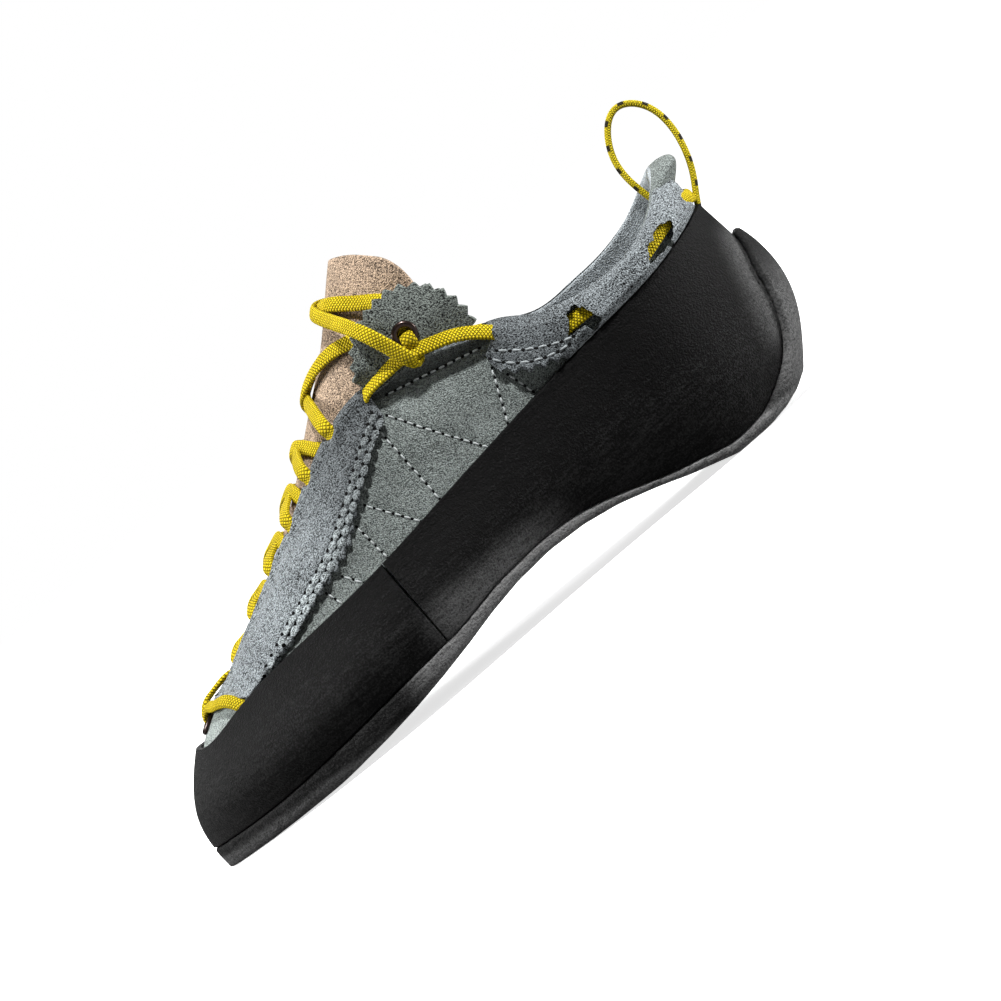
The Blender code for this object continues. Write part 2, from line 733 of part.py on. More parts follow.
def ribbon(points, faces, count, wide=LACE_WIDE, thick=LACE_THICK):
    """Rings of a flat cord along a smooth path."""
    path = Spline(points)
    facing = Spline(faces)
    last = len(points) - 1
    rings = []
    for at in spaced(0, last, count):
        along = path(min(at + 0.02, last)) - path(max(at - 0.02, 0))
        along /= np.linalg.norm(along)
        face = facing(at) - along * np.dot(facing(at), along)
        face /= np.linalg.norm(face)
        side = np.cross(along, face)
        middle = path(at)
        rings.append([middle + side * wide / 2 * a + face * thick / 2 * b for a, b in LACE_FORM])
    return rings


def ridge_point(x, away):
    """A point over the tongue's ridge at length x, and the way out from it."""
    s = float(np.interp(x, [row.x for row in TONGUE_ROWS], range(len(TONGUE_ROWS))))
    along = ridge(min(s + 0.05, 8)) - ridge(max(s - 0.05, 0))
    out = np.array([-along[2], 0, along[0]])
    out /= np.linalg.norm(out)
    return ridge(s) + out * away, out


def notch_point(k, side, away):
    t = rib_at(NOTCHES[k], TOP_EDGE, side)
    return off_wall(t, TOP_EDGE - 0.04, away), wall_normal(t, TOP_EDGE - 0.04)


def tongue_side(s, w, away):
    """A point off the tongue at ridge place s and share w across."""
    here = tongue_at(s, w)
    out = np.cross(tongue_at(min(s + 0.05, 8), w) - here, tongue_at(s, w + 0.03) - here)
    out /= np.linalg.norm(out)
    return here + out * away, out


def ridge_place(x, side):
    """The ridge place whose section meets length x on one side of the throat."""
    places = spaced(0, 8, 80)
    return float(np.interp(x, [tongue_at(s, 0.7 * side)[0] for s in places], places))


def between(edge, top, s, w):
    """A row midway from an edge row to a ridge row, lifted where the tongue stands higher."""
    middle = (edge[0] + top[0]) / 2
    face = edge[1] + top[1]
    face /= np.linalg.norm(face)
    lift = max(0.5, np.dot(tongue_side(s, w, 2.1)[0] - middle, face))
    return middle + face * lift, face


def crossing(k, side, over):
    """One lace bar from the notch k of one side over the ridge to the next notch of the other."""
    start = notch_point(k, side, 3.4 + 0.6 * over)
    stop = notch_point(k + 1, -side, 4.0 - 0.6 * over)
    first, last = ridge_place(NOTCHES[k], side), ridge_place(NOTCHES[k + 1], -side)
    top = tongue_side(mixed(first, last, 0.6), 0.0, 1.9 + 0.9 * over)
    rows = [start, between(start, top, mixed(first, last, 0.35), 0.45 * side), top]
    rows += [between(stop, top, mixed(first, last, 0.82), -0.45 * side), stop]
    return ribbon([p for p, _ in rows], [f for _, f in rows], 6)


def top_crossing(side, over):
    """The last bar: from the top notch over the ridge to behind the other wing."""
    first = ridge_place(NOTCHES[-1], side)
    start = notch_point(len(NOTCHES) - 1, side, 3.6)
    top = tongue_side(first + 0.8, 0.0, 1.9 + 0.9 * over)
    rows = [start, between(start, top, first + 0.4, 0.45 * side), top]
    rows += [tongue_side(first + 1.15, -0.45 * side, 1.9), tongue_side(first + 1.35, -0.8 * side, 1.7)]
    return ribbon([p for p, _ in rows], [f for _, f in rows], 8)


bars = []
for k in range(len(NOTCHES) - 1):
    bars.append(crossing(k, -1, k % 2))
    bars.append(crossing(k, 1, 1 - k % 2))
bars.append(top_crossing(-1, 1))
bars.append(top_crossing(1, 0))
lace = loft("lace_crossings", bars[0], YELLOW)
for number, rings in enumerate(bars[1:], 2):
    bar = loft(f"lace_bar_{number}", rings, YELLOW)
    set_aside(bar)
    join = lace.modifiers.new(f"bar {number}", "BOOLEAN")
    join.operation = "UNION"
    join.solver = "EXACT"
    join.object = bar

# Ankle lace: out of one eyestay, over the wing, through the cuff around the heel and back.
LACE_OFF = GAP + LACE_THICK / 2 + 0.1
ANKLE_OVER_WING = ((126.6, 86.6), (134.0, 87.6), (141.5, 87.8), (150.0, 84.6), (157.0, 81.0))
ANKLE_RUN = (
    (167.0, 3.45),
    (177.0, 3.05),
    (190.0, 3.0),
    (205.0, 3.0),
    (222.0, 2.95),
    (231.0, 2.8),
    (235.0, 2.62),
)


def ankle_side(side):
    rows = []
    for x, z in ANKLE_OVER_WING:
        rows.append(wing_point(x, z, side, LACE_OFF + 1.1))
    for x, h in ANKLE_RUN:
        t = rib_at(x, SHOULDER, side)
        rows.append((off_wall(t, h, LACE_OFF), wall_normal(t, h)))
    return rows


back = (off_wall(HEEL, 2.42, LACE_OFF), wall_normal(HEEL, 2.42))
ankle_rows = [*ankle_side(-1), back, *reversed(ankle_side(1))]
loft("lace_ankle", ribbon([p for p, _ in ankle_rows], [f for _, f in ankle_rows], 48), YELLOW)

# Top lace: out of each wing's eyelet, hooked round the ankle lace and over the tongue.


def top_lace(name, side, over):
    """From the eyelet of one wing, over the ridge, to behind the eyelet of the other."""
    eye, eye_out = wing_point(WING_EYELET[0], WING_EYELET[1], side, 2.6)
    rows = [(eye, eye_out)]
    for x, z, away in ((143.0, 91.6, 4.4), (139.4, 94.0, 3.9), (135.5, 104.0, 2.6)):
        rows.append(wing_point(x, z, side, away))
    rows.append(ridge_point(131.5, 1.6 + 2.3 * over))
    for s, w, away in ((7.45, -side * 0.52, 1.5), (7.0, -side * 0.86, 1.5)):
        rows.append(tongue_side(s, w, away))
    return loft(name, ribbon([p for p, _ in rows], [f for _, f in rows], 19), YELLOW)


top_lace("lace_top_lateral", -1, 1)
top_lace("lace_top_medial", 1, 0)

# Pull loop: a thin cord from inside the heel collar over to the top of the rand.
LOOP = (
    (235.2, 71.0),
    (233.6, 75.5),
    (230.2, 80.5),
    (228.4, 86.5),
    (228.2, 93.0),
    (230.8, 99.0),
    (235.2, 103.0),
    (239.6, 103.8),
    (244.2, 101.6),
    (247.6, 96.4),
    (248.6, 90.0),
    (247.6, 83.0),
    (245.2, 76.0),
    (242.8, 70.0),
    (242.0, 67.0),
)
loop_points = [np.array([x, 0, z]) for x, z in LOOP]
loop_faces = [np.array([x - 238.5, 0, z - 88]) for x, z in LOOP]
loft("pull_loop", ribbon(loop_points, loop_faces, 22, 2.4, 1.4), YELLOW)
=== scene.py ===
"""The climbing shoe's looks: suede, rubber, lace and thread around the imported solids."""

from collections import namedtuple
from math import cos, pi, radians, sin

import bmesh
import bpy
import numpy as np
from mathutils import Matrix, Vector
from mathutils.bvhtree import BVHTree


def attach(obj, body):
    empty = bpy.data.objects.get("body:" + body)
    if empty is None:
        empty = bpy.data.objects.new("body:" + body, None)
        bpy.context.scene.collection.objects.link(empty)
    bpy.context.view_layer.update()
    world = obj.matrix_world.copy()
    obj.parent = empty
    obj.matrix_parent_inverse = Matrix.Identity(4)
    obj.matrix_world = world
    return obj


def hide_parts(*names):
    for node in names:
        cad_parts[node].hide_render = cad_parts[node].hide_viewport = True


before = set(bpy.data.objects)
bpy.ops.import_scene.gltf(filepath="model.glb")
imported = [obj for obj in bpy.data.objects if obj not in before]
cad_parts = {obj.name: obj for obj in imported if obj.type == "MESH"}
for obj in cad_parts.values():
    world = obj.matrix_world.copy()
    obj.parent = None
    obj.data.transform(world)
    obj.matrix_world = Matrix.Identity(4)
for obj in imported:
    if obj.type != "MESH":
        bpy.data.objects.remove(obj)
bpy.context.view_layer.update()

# Driving sizes in mm, as in the part's source: x from the toe, y from the last's middle, z from the floor.
MM = 0.001
MIDDLE_X, MIDDLE_Y = 124.7, -0.75
GAP = 0.35
UPPER_WALL = 1.6
RAND_WALL = 2.0
OVERLAY_WALL = 1.3
SOLE_THICK = 5.0
RAND_OUT = GAP + RAND_WALL

# One row for each rib of the last, from the toe along the outer side to the heel and back.
Rib = namedtuple(
    "Rib", "sole_x sole_y sole_z belly_out belly_z rand_x rand_y rand_z crown top_x top_y top_z"
)
RIBS = (
    Rib(0.3, 13.0, 7.8, -2.9, 19.5, 17.3, 12.5, 35.6, 0.8, 31.0, 11.0, 43.0),
    Rib(12.0, -6.0, 8.3, 0.6, 20.0, 22.5, -3.5, 34.4, 1.8, 35.0, 5.0, 43.5),
    Rib(36.0, -27.0, 9.5, 1.4, 21.0, 43.0, -18.5, 38.4, 3.2, 57.0, -0.5, 55.0),
    Rib(78.0, -40.0, 13.4, 1.4, 24.0, 82.0, -33.5, 42.4, 4.2, 92.0, -12.0, 75.3),
    Rib(116.0, -36.5, 16.6, 2.2, 29.0, 119.0, -34.0, 47.4, 2.8, 123.0, -21.0, 88.0),
    Rib(150.0, -29.0, 17.2, 4.6, 31.0, 152.0, -31.0, 51.9, 1.2, 157.0, -25.0, 80.0),
    Rib(184.0, -24.5, 7.0, 5.4, 27.0, 187.0, -27.6, 55.9, 0.4, 191.0, -25.5, 68.8),
    Rib(211.0, -20.5, 5.2, 6.0, 27.0, 217.0, -23.4, 59.2, 0.3, 221.0, -20.5, 71.0),
    Rib(228.0, 0.0, 9.5, 13.0, 34.0, 238.4, 0.0, 65.4, 0.6, 236.9, 0.0, 83.8),
    Rib(211.0, 20.5, 5.2, 6.0, 27.0, 217.0, 23.4, 60.2, 0.3, 221.0, 20.5, 75.2),
    Rib(184.0, 22.5, 7.6, 5.6, 28.0, 187.0, 26.8, 57.0, 0.4, 191.0, 24.8, 72.0),
    Rib(150.0, 20.5, 19.0, 5.8, 33.0, 152.0, 26.6, 53.0, 1.2, 157.0, 23.5, 82.0),
    Rib(112.0, 26.5, 18.0, 4.2, 30.0, 117.0, 29.5, 48.0, 2.8, 123.0, 22.5, 88.0),
    Rib(70.0, 38.5, 12.6, 1.6, 23.0, 78.0, 33.5, 42.4, 4.2, 92.0, 19.5, 75.3),
    Rib(36.0, 34.5, 9.5, 1.6, 21.0, 43.0, 29.5, 38.4, 3.2, 57.0, 16.5, 55.0),
    Rib(12.0, 27.5, 8.3, 1.0, 20.0, 22.5, 23.0, 35.0, 1.8, 35.0, 16.5, 43.5),
)
LAPS = len(RIBS)
HEEL = LAPS // 2
SOLE_EDGE, BELLY, RAND_TOP, SHOULDER, TOP_EDGE = range(5)
OUTER, INNER = -1, 1


# Smooth lines.
def unit(vectors):
    return vectors / np.linalg.norm(vectors, axis=-1, keepdims=True)


def mixed(one, two, share):
    return one + (two - one) * share


def eased(x):
    x = np.clip(x, 0.0, 1.0)
    return x * x * (3 - 2 * x)


def ramp(x, start, stop):
    """0 at start, 1 at stop, eased between."""
    return eased((x - start) / (stop - start))


def within(x, low, full, fading, high):
    """0 outside low to high, 1 from full to fading, eased between."""
    return ramp(x, low, full) * (1 - ramp(x, fading, high))


def bell(x, spread, middle=0.0):
    """1 at the middle, dying away within about twice the spread."""
    return np.exp(-(((x - middle) / spread) ** 2))


def halved(low, high, is_short, rounds=30):
    """The place between low and high where is_short turns from true to false."""
    for _ in range(rounds):
        middle = (low + high) / 2
        short = is_short(middle)
        low, high = np.where(short, middle, low), np.where(short, high, middle)
    return (low + high) / 2


def knots_of(points):
    steps = np.sqrt(np.linalg.norm(np.diff(points, axis=-2), axis=-1) + 1e-6)
    return np.concatenate([np.zeros_like(steps[..., :1]), np.cumsum(steps, axis=-1)], axis=-1)


def second_slopes(points, knots):
    """Second slopes of the natural cubic splines through points at knots."""
    count = knots.shape[-1]
    gaps = np.diff(knots)
    rises = np.diff(points, axis=-2) / gaps[..., None]
    system = np.zeros(knots.shape + (count,))
    right = np.zeros(points.shape)
    system[..., 0, 0] = 1
    system[..., -1, -1] = 1
    for i in range(1, count - 1):
        system[..., i, i - 1] = gaps[..., i - 1]
        system[..., i, i] = 2 * (gaps[..., i - 1] + gaps[..., i])
        system[..., i, i + 1] = gaps[..., i]
        right[..., i, :] = 6 * (rises[..., i, :] - rises[..., i - 1, :])
    return np.linalg.solve(system, right)


def on_splines(points, knots, slopes, at):
    """Points of splines at places that count their points."""
    i = np.clip(np.floor(at), 0, knots.shape[-1] - 2).astype(int)

    def pick(values, j):
        return np.take_along_axis(values, j[..., None, None], -2)[..., 0, :]

    span = np.take_along_axis(np.diff(knots), i[..., None], -1)
    far = (at - i)[..., None]
    near = 1 - far
    bend = (near**3 - near) * pick(slopes, i) + (far**3 - far) * pick(slopes, i + 1)
    return near * pick(points, i) + far * pick(points, i + 1) + bend * span**2 / 6


class Curve:
    """A smooth line through points; places on it count its points."""

    def __init__(self, points, closed=False):
        points = np.array(points, float)
        self.count = len(points)
        self.closed = closed
        if closed:
            points = np.concatenate([points[-4:], points, points[:5]])
        knots = knots_of(points)
        self.parts = points, knots, second_slopes(points, knots)

    def __call__(self, at):
        at = np.asarray(at, float)
        if self.closed:
            at = at % self.count + 4
        return on_splines(*(np.broadcast_to(part, at.shape + part.shape) for part in self.parts), at)


# The wall of the last: t counts ribs around the shoe, h counts lines up it.
def rib_points(i):
    rib = RIBS[i]
    ahead = RIBS[(i + 1) % LAPS]
    behind = RIBS[i - 1]
    way = unit(np.array([ahead.sole_x - behind.sole_x, ahead.sole_y - behind.sole_y, 0.0]))
    out = np.array([way[1], -way[0], 0.0])
    sole = np.array([rib.sole_x, rib.sole_y, rib.sole_z])
    rand = np.array([rib.rand_x, rib.rand_y, rib.rand_z])
    top = np.array([rib.top_x, rib.top_y, rib.top_z])
    belly = sole + out * rib.belly_out
    belly[2] = rib.belly_z
    shoulder = (rand + top) / 2 - unit(np.cross(top - rand, way)) * rib.crown
    return sole, belly, rand, shoulder, top


LINES = [Curve(line, closed=True) for line in zip(*(rib_points(i) for i in range(LAPS)))]
# Steps in ribs or lines for slopes and searches, and the sag of the inner collar.
SLOPE_STEP = 0.02
EDGE_STEP = 0.05
COLLAR_SAG = 2.4
COLLAR_SAG_RIB = 10.28
COLLAR_SAG_SPREAD = 0.35
SHOULDER_SHARE = 0.5
TOE_CLEAR, HEEL_CLEAR = 0.35, 0.05
RIB_STRIDE, LINE_STRIDE = 0.4, 0.5


def collar_dip(t):
    """How far the inner side's shoulder and top edge sag behind its wing."""
    dip = COLLAR_SAG * bell(t % LAPS, COLLAR_SAG_SPREAD, COLLAR_SAG_RIB)
    return dip[..., None] * (SHOULDER_SHARE, 1.0)


def wall(t, h):
    """The point of the wall at rib t and line h."""
    t, h = np.broadcast_arrays(np.asarray(t, float), np.asarray(h, float))
    points = np.stack([line(t) for line in LINES], axis=-2)
    points[..., SHOULDER:, 2] -= collar_dip(t)
    knots = knots_of(points)
    return on_splines(points, knots, second_slopes(points, knots), h)


def wall_normal(t, h):
    t, h = np.broadcast_arrays(np.asarray(t, float), np.asarray(h, float))
    above, below = np.minimum(h + SLOPE_STEP, TOP_EDGE), np.maximum(h - SLOPE_STEP, SOLE_EDGE)
    along = wall(t + SLOPE_STEP, h) - wall(t - SLOPE_STEP, h)
    return unit(np.cross(along, wall(t, above) - wall(t, below)))


def off_wall(t, h, away):
    return wall(t, h) + wall_normal(t, h) * np.asarray(away)[..., None]


def line_mm(t, h):
    """How many mm one line step is at (t, h)."""
    step = wall(t, h + SLOPE_STEP) - wall(t, h - SLOPE_STEP)
    return np.linalg.norm(step, axis=-1) / (2 * SLOPE_STEP)


def top_mm(t):
    """How many mm one line step is close under the top edge."""
    return line_mm(t, TOP_EDGE - EDGE_STEP)


def up_from_foot(t):
    """The way up the wall from its lower edge."""
    return unit(wall(t, EDGE_STEP) - wall(t, 0.0))


def rib_at(x, line, side):
    """The t where a line of the wall is at length x, on one side."""
    start, stop = TOE_CLEAR, HEEL - HEEL_CLEAR
    if side == INNER:
        start, stop = LAPS - start, LAPS - stop
    return halved(start, stop, lambda t: LINES[line](t)[..., 0] < np.asarray(x, float), 40)


def on_side(x, z, side):
    """The t and h of the wall at length x and height z of the side view."""
    x, z = np.broadcast_arrays(np.asarray(x, float), np.asarray(z, float))
    t = rib_at(x, SHOULDER, side)
    h = np.full(x.shape, float(SHOULDER))
    step = SLOPE_STEP / 2
    for _ in range(7):
        here = wall(t, h)
        by_t = (wall(t + step, h) - here) / step
        by_h = (wall(t, h + step) - here) / step
        short_x, short_z = x - here[..., 0], z - here[..., 2]
        area = by_t[..., 0] * by_h[..., 2] - by_t[..., 2] * by_h[..., 0]
        along = (short_x * by_h[..., 2] - short_z * by_h[..., 0]) / area
        up = (short_z * by_t[..., 0] - short_x * by_t[..., 2]) / area
        t = t + np.clip(along, -RIB_STRIDE, RIB_STRIDE)
        h = np.clip(h + np.clip(up, -LINE_STRIDE, LINE_STRIDE), RAND_TOP, TOP_EDGE)
    return t, h


def on_edge(edge, t):
    """The h at rib t where a side-view line of (x, z) rows crosses the wall."""
    xs, zs = zip(*edge)

    def under(h):
        here = wall(t, h)
        return here[..., 2] < np.interp(here[..., 0], xs, zs)

    return halved(RAND_TOP, TOP_EDGE, under)


# Finishes: a socket that Python's operators turn into nodes, and a material that holds them.
class Value:
    def __init__(self, finish, socket):
        self.finish = finish
        self.socket = socket

    def maths(self, operation, *others):
        return self.finish.node("ShaderNodeMath", {"operation": operation}, dict(enumerate((self, *others))))

    def __add__(self, other):
        return self.maths("ADD", other)

    def __mul__(self, other):
        return self.maths("MULTIPLY", other)

    def __sub__(self, other):
        return self.maths("SUBTRACT", other)

    def __rsub__(self, other):
        return (self * -1.0) + other

    __radd__ = __add__
    __rmul__ = __mul__

    def between(self, low, high):
        """0 below low, 1 above high, eased between."""
        settings = {"interpolation_type": "SMOOTHSTEP"}
        sockets = {"Value": self, "From Min": low, "From Max": high}
        return self.finish.node("ShaderNodeMapRange", settings, sockets)

    def within(self, low, full, fading, high):
        """0 outside low to high, 1 from full to fading, eased between."""
        return self.between(low, full) * (1 - self.between(fading, high))


class Finish:
    """A material with a Principled shader, constants set on its sockets."""

    def __init__(self, name, **constants):
        self.material = bpy.data.materials.new(name)
        self.material.use_nodes = True
        self.tree = self.material.node_tree
        self.shader = self.tree.nodes["Principled BSDF"]
        for word, value in constants.items():
            self.socket(word).default_value = value
        self.place = self.node("ShaderNodeTexCoord", {}, {}, "Object")

    def socket(self, word):
        return self.shader.inputs[word.replace("_", " ").title().replace("Ior", "IOR")]

    def node(self, kind, settings, sockets, out=0):
        made = self.tree.nodes.new(kind)
        for word, value in settings.items():
            setattr(made, word, value)
        for word, value in sockets.items():
            self.feed(made.inputs[word], value)
        return Value(self, made.outputs[out])

    def feed(self, socket, value):
        if isinstance(value, Value):
            self.tree.links.new(value.socket, socket)
        else:
            socket.default_value = value

    def noise(self, size, detail=2.0, rough=0.5, where=None):
        """Noise with lumps of size mm, about 0.5 on the mean."""
        sockets = {"Vector": where or self.place, "Scale": 1000 / size, "Detail": detail, "Roughness": rough}
        return self.node("ShaderNodeTexNoise", {}, sockets)

    def stretched(self, scale):
        """The place with each axis scaled, for streaks."""
        return self.node("ShaderNodeVectorMath", {"operation": "MULTIPLY"}, {0: self.place, 1: scale})

    def axes(self, vector=None):
        """The x, y and z of a vector, or of the place on the surface."""
        split = self.node("ShaderNodeSeparateXYZ", {}, {0: vector or self.place})
        return [Value(self, socket) for socket in split.socket.node.outputs]

    def blend(self, share, one, two):
        """One colour turning into another."""
        sockets = {"Factor": share, 6: one, 7: two}
        return self.node("ShaderNodeMix", {"data_type": "RGBA"}, sockets, 2)

    def bump(self, height, strength, deep):
        sockets = {"Height": height, "Strength": strength, "Distance": deep * MM}
        self.feed(self.shader.inputs["Normal"], self.node("ShaderNodeBump", {}, sockets))

    def put(self, **links):
        for word, value in links.items():
            self.feed(self.socket(word), value)


def shade(colour, factor):
    return (*(min(channel * factor, 1.0) for channel in colour), 1.0)


def grey(level):
    return (level, level, level, 1.0)


# Where the suede's colour changes, in metres from the shoe's middle: four values start, fill, fade and end a
# place, and two values are one edge of it. The first place is darker across the middle, the second edge
# pales the toe, and the last three lay a painted shadow of the ankle lace and wing on the quarter.
DARKER_MIDDLE = (-0.058, -0.012, 0.052, 0.075)
STRETCHED = (-0.1, -0.07)
LACE_SHADE_SPAN = (-0.004, 0.0, 0.038, 0.044)
LACE_SHADE_SLOPE = 0.232
LACE_SHADE_EDGE = (0.0826, 0.0836)


def suede(name, colour, nap=0.46, contrast=0.8, ankle=1.0, toe=1.0, soil_and_shade=1.0):
    """Brushed leather: short fibres lit from the side, and soft patches where the nap lies another way.

    ankle darkens it across the shoe's middle, toe pales it where the leather is stretched, and the last
    factor is
    painted shade: it darkens the suede close under the ankle lace, where the lace and wing cast their
    shadow.
    """
    finish = Finish(name, roughness=0.95, sheen_weight=0.08, sheen_roughness=0.45, specular_ior_level=0.12)
    fibre = finish.noise(nap, 1.5, 0.6)
    lump = finish.noise(nap * 2.6, 2.0, 0.6)
    blotch = finish.noise(12.0, 3.0, 0.55)
    tone = (fibre - 0.5) * 3.5 + (lump - 0.5) * 0.6 + (blotch - 0.5) * 0.5 + 0.5
    x, _, z = finish.axes()
    # Darker across the shoe's middle, as deep as the ankle factor says.
    streaks_and_darker_middle = x.within(*DARKER_MIDDLE)
    pull = 1 - x.between(*STRETCHED)
    # Painted shadow: darker close under the ankle lace, where the lace and wing cast their shade on the
    # quarter.
    under = (z + x * LACE_SHADE_SLOPE).between(*LACE_SHADE_EDGE) * x.within(*LACE_SHADE_SPAN)
    level = (streaks_and_darker_middle * (ankle - 1) + pull * (toe - 1) + 1) * (under * (soil_and_shade - 1) + 1)
    wear_and_painted_light = finish.node("ShaderNodeCombineColor", {}, {0: level, 1: level, 2: level})
    leather = finish.blend(tone, shade(colour, 1 - contrast), shade(colour, 1 + contrast))
    settings = {"data_type": "RGBA", "blend_type": "MULTIPLY"}
    sockets = {"Factor": 1.0, 6: leather, 7: wear_and_painted_light}
    finish.put(base_color=finish.node("ShaderNodeMix", settings, sockets, 2))
    finish.put(roughness=fibre * 0.1 + 0.88)
    finish.bump(fibre + lump * 0.4, 1.0, 1.0)
    return finish.material


def rubber(name, dark, pale, wear_and_painted_light, wear_and_highlight_at):
    """Matt black rubber, stippled and streaked, darker above; the last argument says how grey it is at (x,
    z), for grey wear and painted highlight.
    """
    finish = Finish(name, specular_ior_level=0.08)
    stipple = finish.noise(0.62, 2.0, 0.7)
    cloud = finish.noise(16.0, 4.0, 0.6)
    streaks_and_darker_middle = finish.noise(1.1, 4.0, 0.65, finish.stretched((0.13, 0.5, 1.0)))
    x, _, z = finish.axes()
    darker_above = z.between(0.024, 0.044)
    tone = (cloud - 0.5) * 0.8 + (streaks_and_darker_middle - 0.5) * 2.2 + (stipple - 0.5) * 3.2 - darker_above * 0.62 + 0.25
    # Grey wear and painted highlight where the last argument puts them, broken up by the stipple and
    # streaks.
    share = wear_and_highlight_at(x, z) * ((stipple - 0.5) * 3.0 + (streaks_and_darker_middle - 0.5) * 1.8 + 1)
    finish.put(base_color=finish.blend(share, finish.blend(tone, grey(dark), grey(pale)), grey(wear_and_painted_light)))
    finish.put(roughness=(streaks_and_darker_middle - 0.5) * 0.3 + (cloud - 0.5) * 0.25 + 0.5)
    finish.bump(stipple + streaks_and_darker_middle * 0.6, 1.0, 0.45)
    return finish.material


def rand_wear_and_highlight(x, z):
    """Painted highlight with grey wear beside the heel's groove, low on the arch and round the toe."""
    groove = z * 0.3 + 0.1045
    heel = (x - groove).between(-0.0105, -0.0005) * z.within(0.012, 0.022, 0.05, 0.06)
    arch = x.within(-0.036, -0.02, 0.004, 0.03) * (1 - z.between(0.019, 0.03))
    toe = 1 - x.between(-0.122, -0.098)
    return heel * 0.68 + arch * 0.9 + toe * 0.09


def sole_wear_and_highlight(x, z):
    """Painted highlight with grey wear along the arch, on the tread's edge and low on the heel."""
    arch = x.within(-0.052, -0.036, 0.06, 0.098) * 0.72
    tread = (1 - z.between(0.003, 0.0055)) * (x.between(-0.1, -0.07) * 0.3 + 0.3)
    heel = x.between(0.09, 0.113) * (1 - z.between(0.016, 0.046)) * 0.5
    return arch.maths("MAXIMUM", tread).maths("MAXIMUM", heel)


def braid(name, colour, weave, marks=None):
    """Woven lace: yarns crossing at a slant; marks puts a dark dash on the outer edge every so many mm."""
    finish = Finish(name, roughness=0.8, specular_ior_level=0.12)
    run = finish.node("ShaderNodeAttribute", {"attribute_name": "run"}, {}, "Vector")
    along, across, outer = finish.axes(run)
    slant = across * 0.8
    one, two = (
        (yarns * (pi / weave)).maths("SINE").maths("ABSOLUTE")
        for yarns in (along + slant, along - slant)
    )
    yarn = one.maths("MINIMUM", two).maths("POWER", 0.7)
    fuzz = finish.noise(0.35, 2.0, 0.7)
    soil_and_shade = finish.noise(7.0, 2.0, 0.5)
    tone = yarn * 1.05 + (fuzz - 0.5) * 0.7 + (soil_and_shade - 0.5) * 0.4 + 0.06
    cloth = finish.blend(tone, shade(colour, 0.16), shade(colour, 1.14))
    if marks:
        beat = (along * (1 / marks)).maths("FRACT")
        dash = beat.within(0.08, 0.14, 0.34, 0.4) * outer.between(-0.05, 0.2)
        cloth = finish.blend(dash, cloth, (0.03, 0.026, 0.014, 1))
    finish.put(base_color=cloth)
    finish.put(roughness=0.9 - yarn * 0.2)
    finish.bump(yarn + fuzz * 0.3, 1.0, 0.65)
    return finish.material


def metal(name, colour):
    """Burnished eyelet metal with scuffed patches."""
    finish = Finish(name, metallic=0.85, coat_weight=0.35, coat_roughness=0.12)
    wear_and_painted_light = finish.noise(1.6, 4.0, 0.65)
    finish.put(base_color=finish.blend(wear_and_painted_light, shade(colour, 0.5), shade(colour, 1.7)))
    finish.put(roughness=wear_and_painted_light * 0.25 + 0.18)
    finish.bump(wear_and_painted_light, 0.15, 0.1)
    return finish.material


def sewing_thread(name, colour, sheen=0.2):
    finish = Finish(name, roughness=0.8, sheen_weight=sheen, specular_ior_level=0.1)
    twist = finish.noise(0.3, 2.0, 0.6)
    finish.put(base_color=finish.blend(twist, shade(colour, 0.7), shade(colour, 1.15)))
    finish.bump(twist, 0.5, 0.12)
    return finish.material


def lining(name, colour):
    """Smooth inner leather or foot bed cloth with a fine even grain."""
    finish = Finish(name, roughness=0.9, sheen_weight=0.15, specular_ior_level=0.2)
    grain = finish.noise(0.8, 4.0, 0.65)
    blotch = finish.noise(14.0, 2.0, 0.5)
    tone = (grain - 0.5) * 0.9 + (blotch - 0.5) * 0.6 + 0.5
    finish.put(base_color=finish.blend(tone, shade(colour, 0.8), shade(colour, 1.18)))
    finish.bump(grain, 0.4, 0.25)
    return finish.material


# The quarter's suede carries the painted shadow under the ankle lace.
QUARTER_SUEDE = suede("quarter suede", (0.196, 0.22, 0.21), nap=0.4, contrast=0.72, toe=1.62, soil_and_shade=0.36)
FACING_SUEDE = suede("facing suede", (0.208, 0.23, 0.24), contrast=0.98, ankle=0.46)
PUFF_SUEDE = suede("stitched suede", (0.335, 0.372, 0.38), contrast=0.85, ankle=0.44)
CUFF_SUEDE = suede("cuff suede", (0.196, 0.216, 0.226), contrast=0.98, ankle=0.58)
WING_SUEDE = suede("wing suede", (0.186, 0.208, 0.191), contrast=0.98, ankle=0.76)
TAN_SUEDE = suede("tan suede", (0.375, 0.276, 0.196), contrast=0.76)
LINING = suede("collar lining", (0.4, 0.436, 0.455), contrast=0.45)
FOOT_BED = lining("foot bed", (0.09, 0.09, 0.09))
# Both rubbers are greyed where the rand and sole wear and where highlights are painted on.
RUBBER = rubber("black rubber", 0.001, 0.016, 0.09, rand_wear_and_highlight)
SOLE_RUBBER = rubber("sole rubber", 0.008, 0.035, 0.21, sole_wear_and_highlight)
LACE = braid("yellow lace", (0.73, 0.555, 0.013), 1.15)
LOOP_CORD = braid("marked loop cord", (0.86, 0.68, 0.02), 0.8, marks=7.4)
METAL = metal("eyelet metal", (0.045, 0.028, 0.024))
WHITE_THREAD = sewing_thread("white thread", (0.5, 0.53, 0.53))
GREY_THREAD = sewing_thread("grey thread", (0.36, 0.39, 0.4))
# The needle holes' lenses are near-black: painted shade in the holes' pits.
HOLE_SHADE = sewing_thread("needle hole", (0.002, 0.002, 0.002), sheen=0.0)


# Meshes from grids of points in mm.
def placed(points):
    return (np.asarray(points, float) - (MIDDLE_X, MIDDLE_Y, 0)) * MM


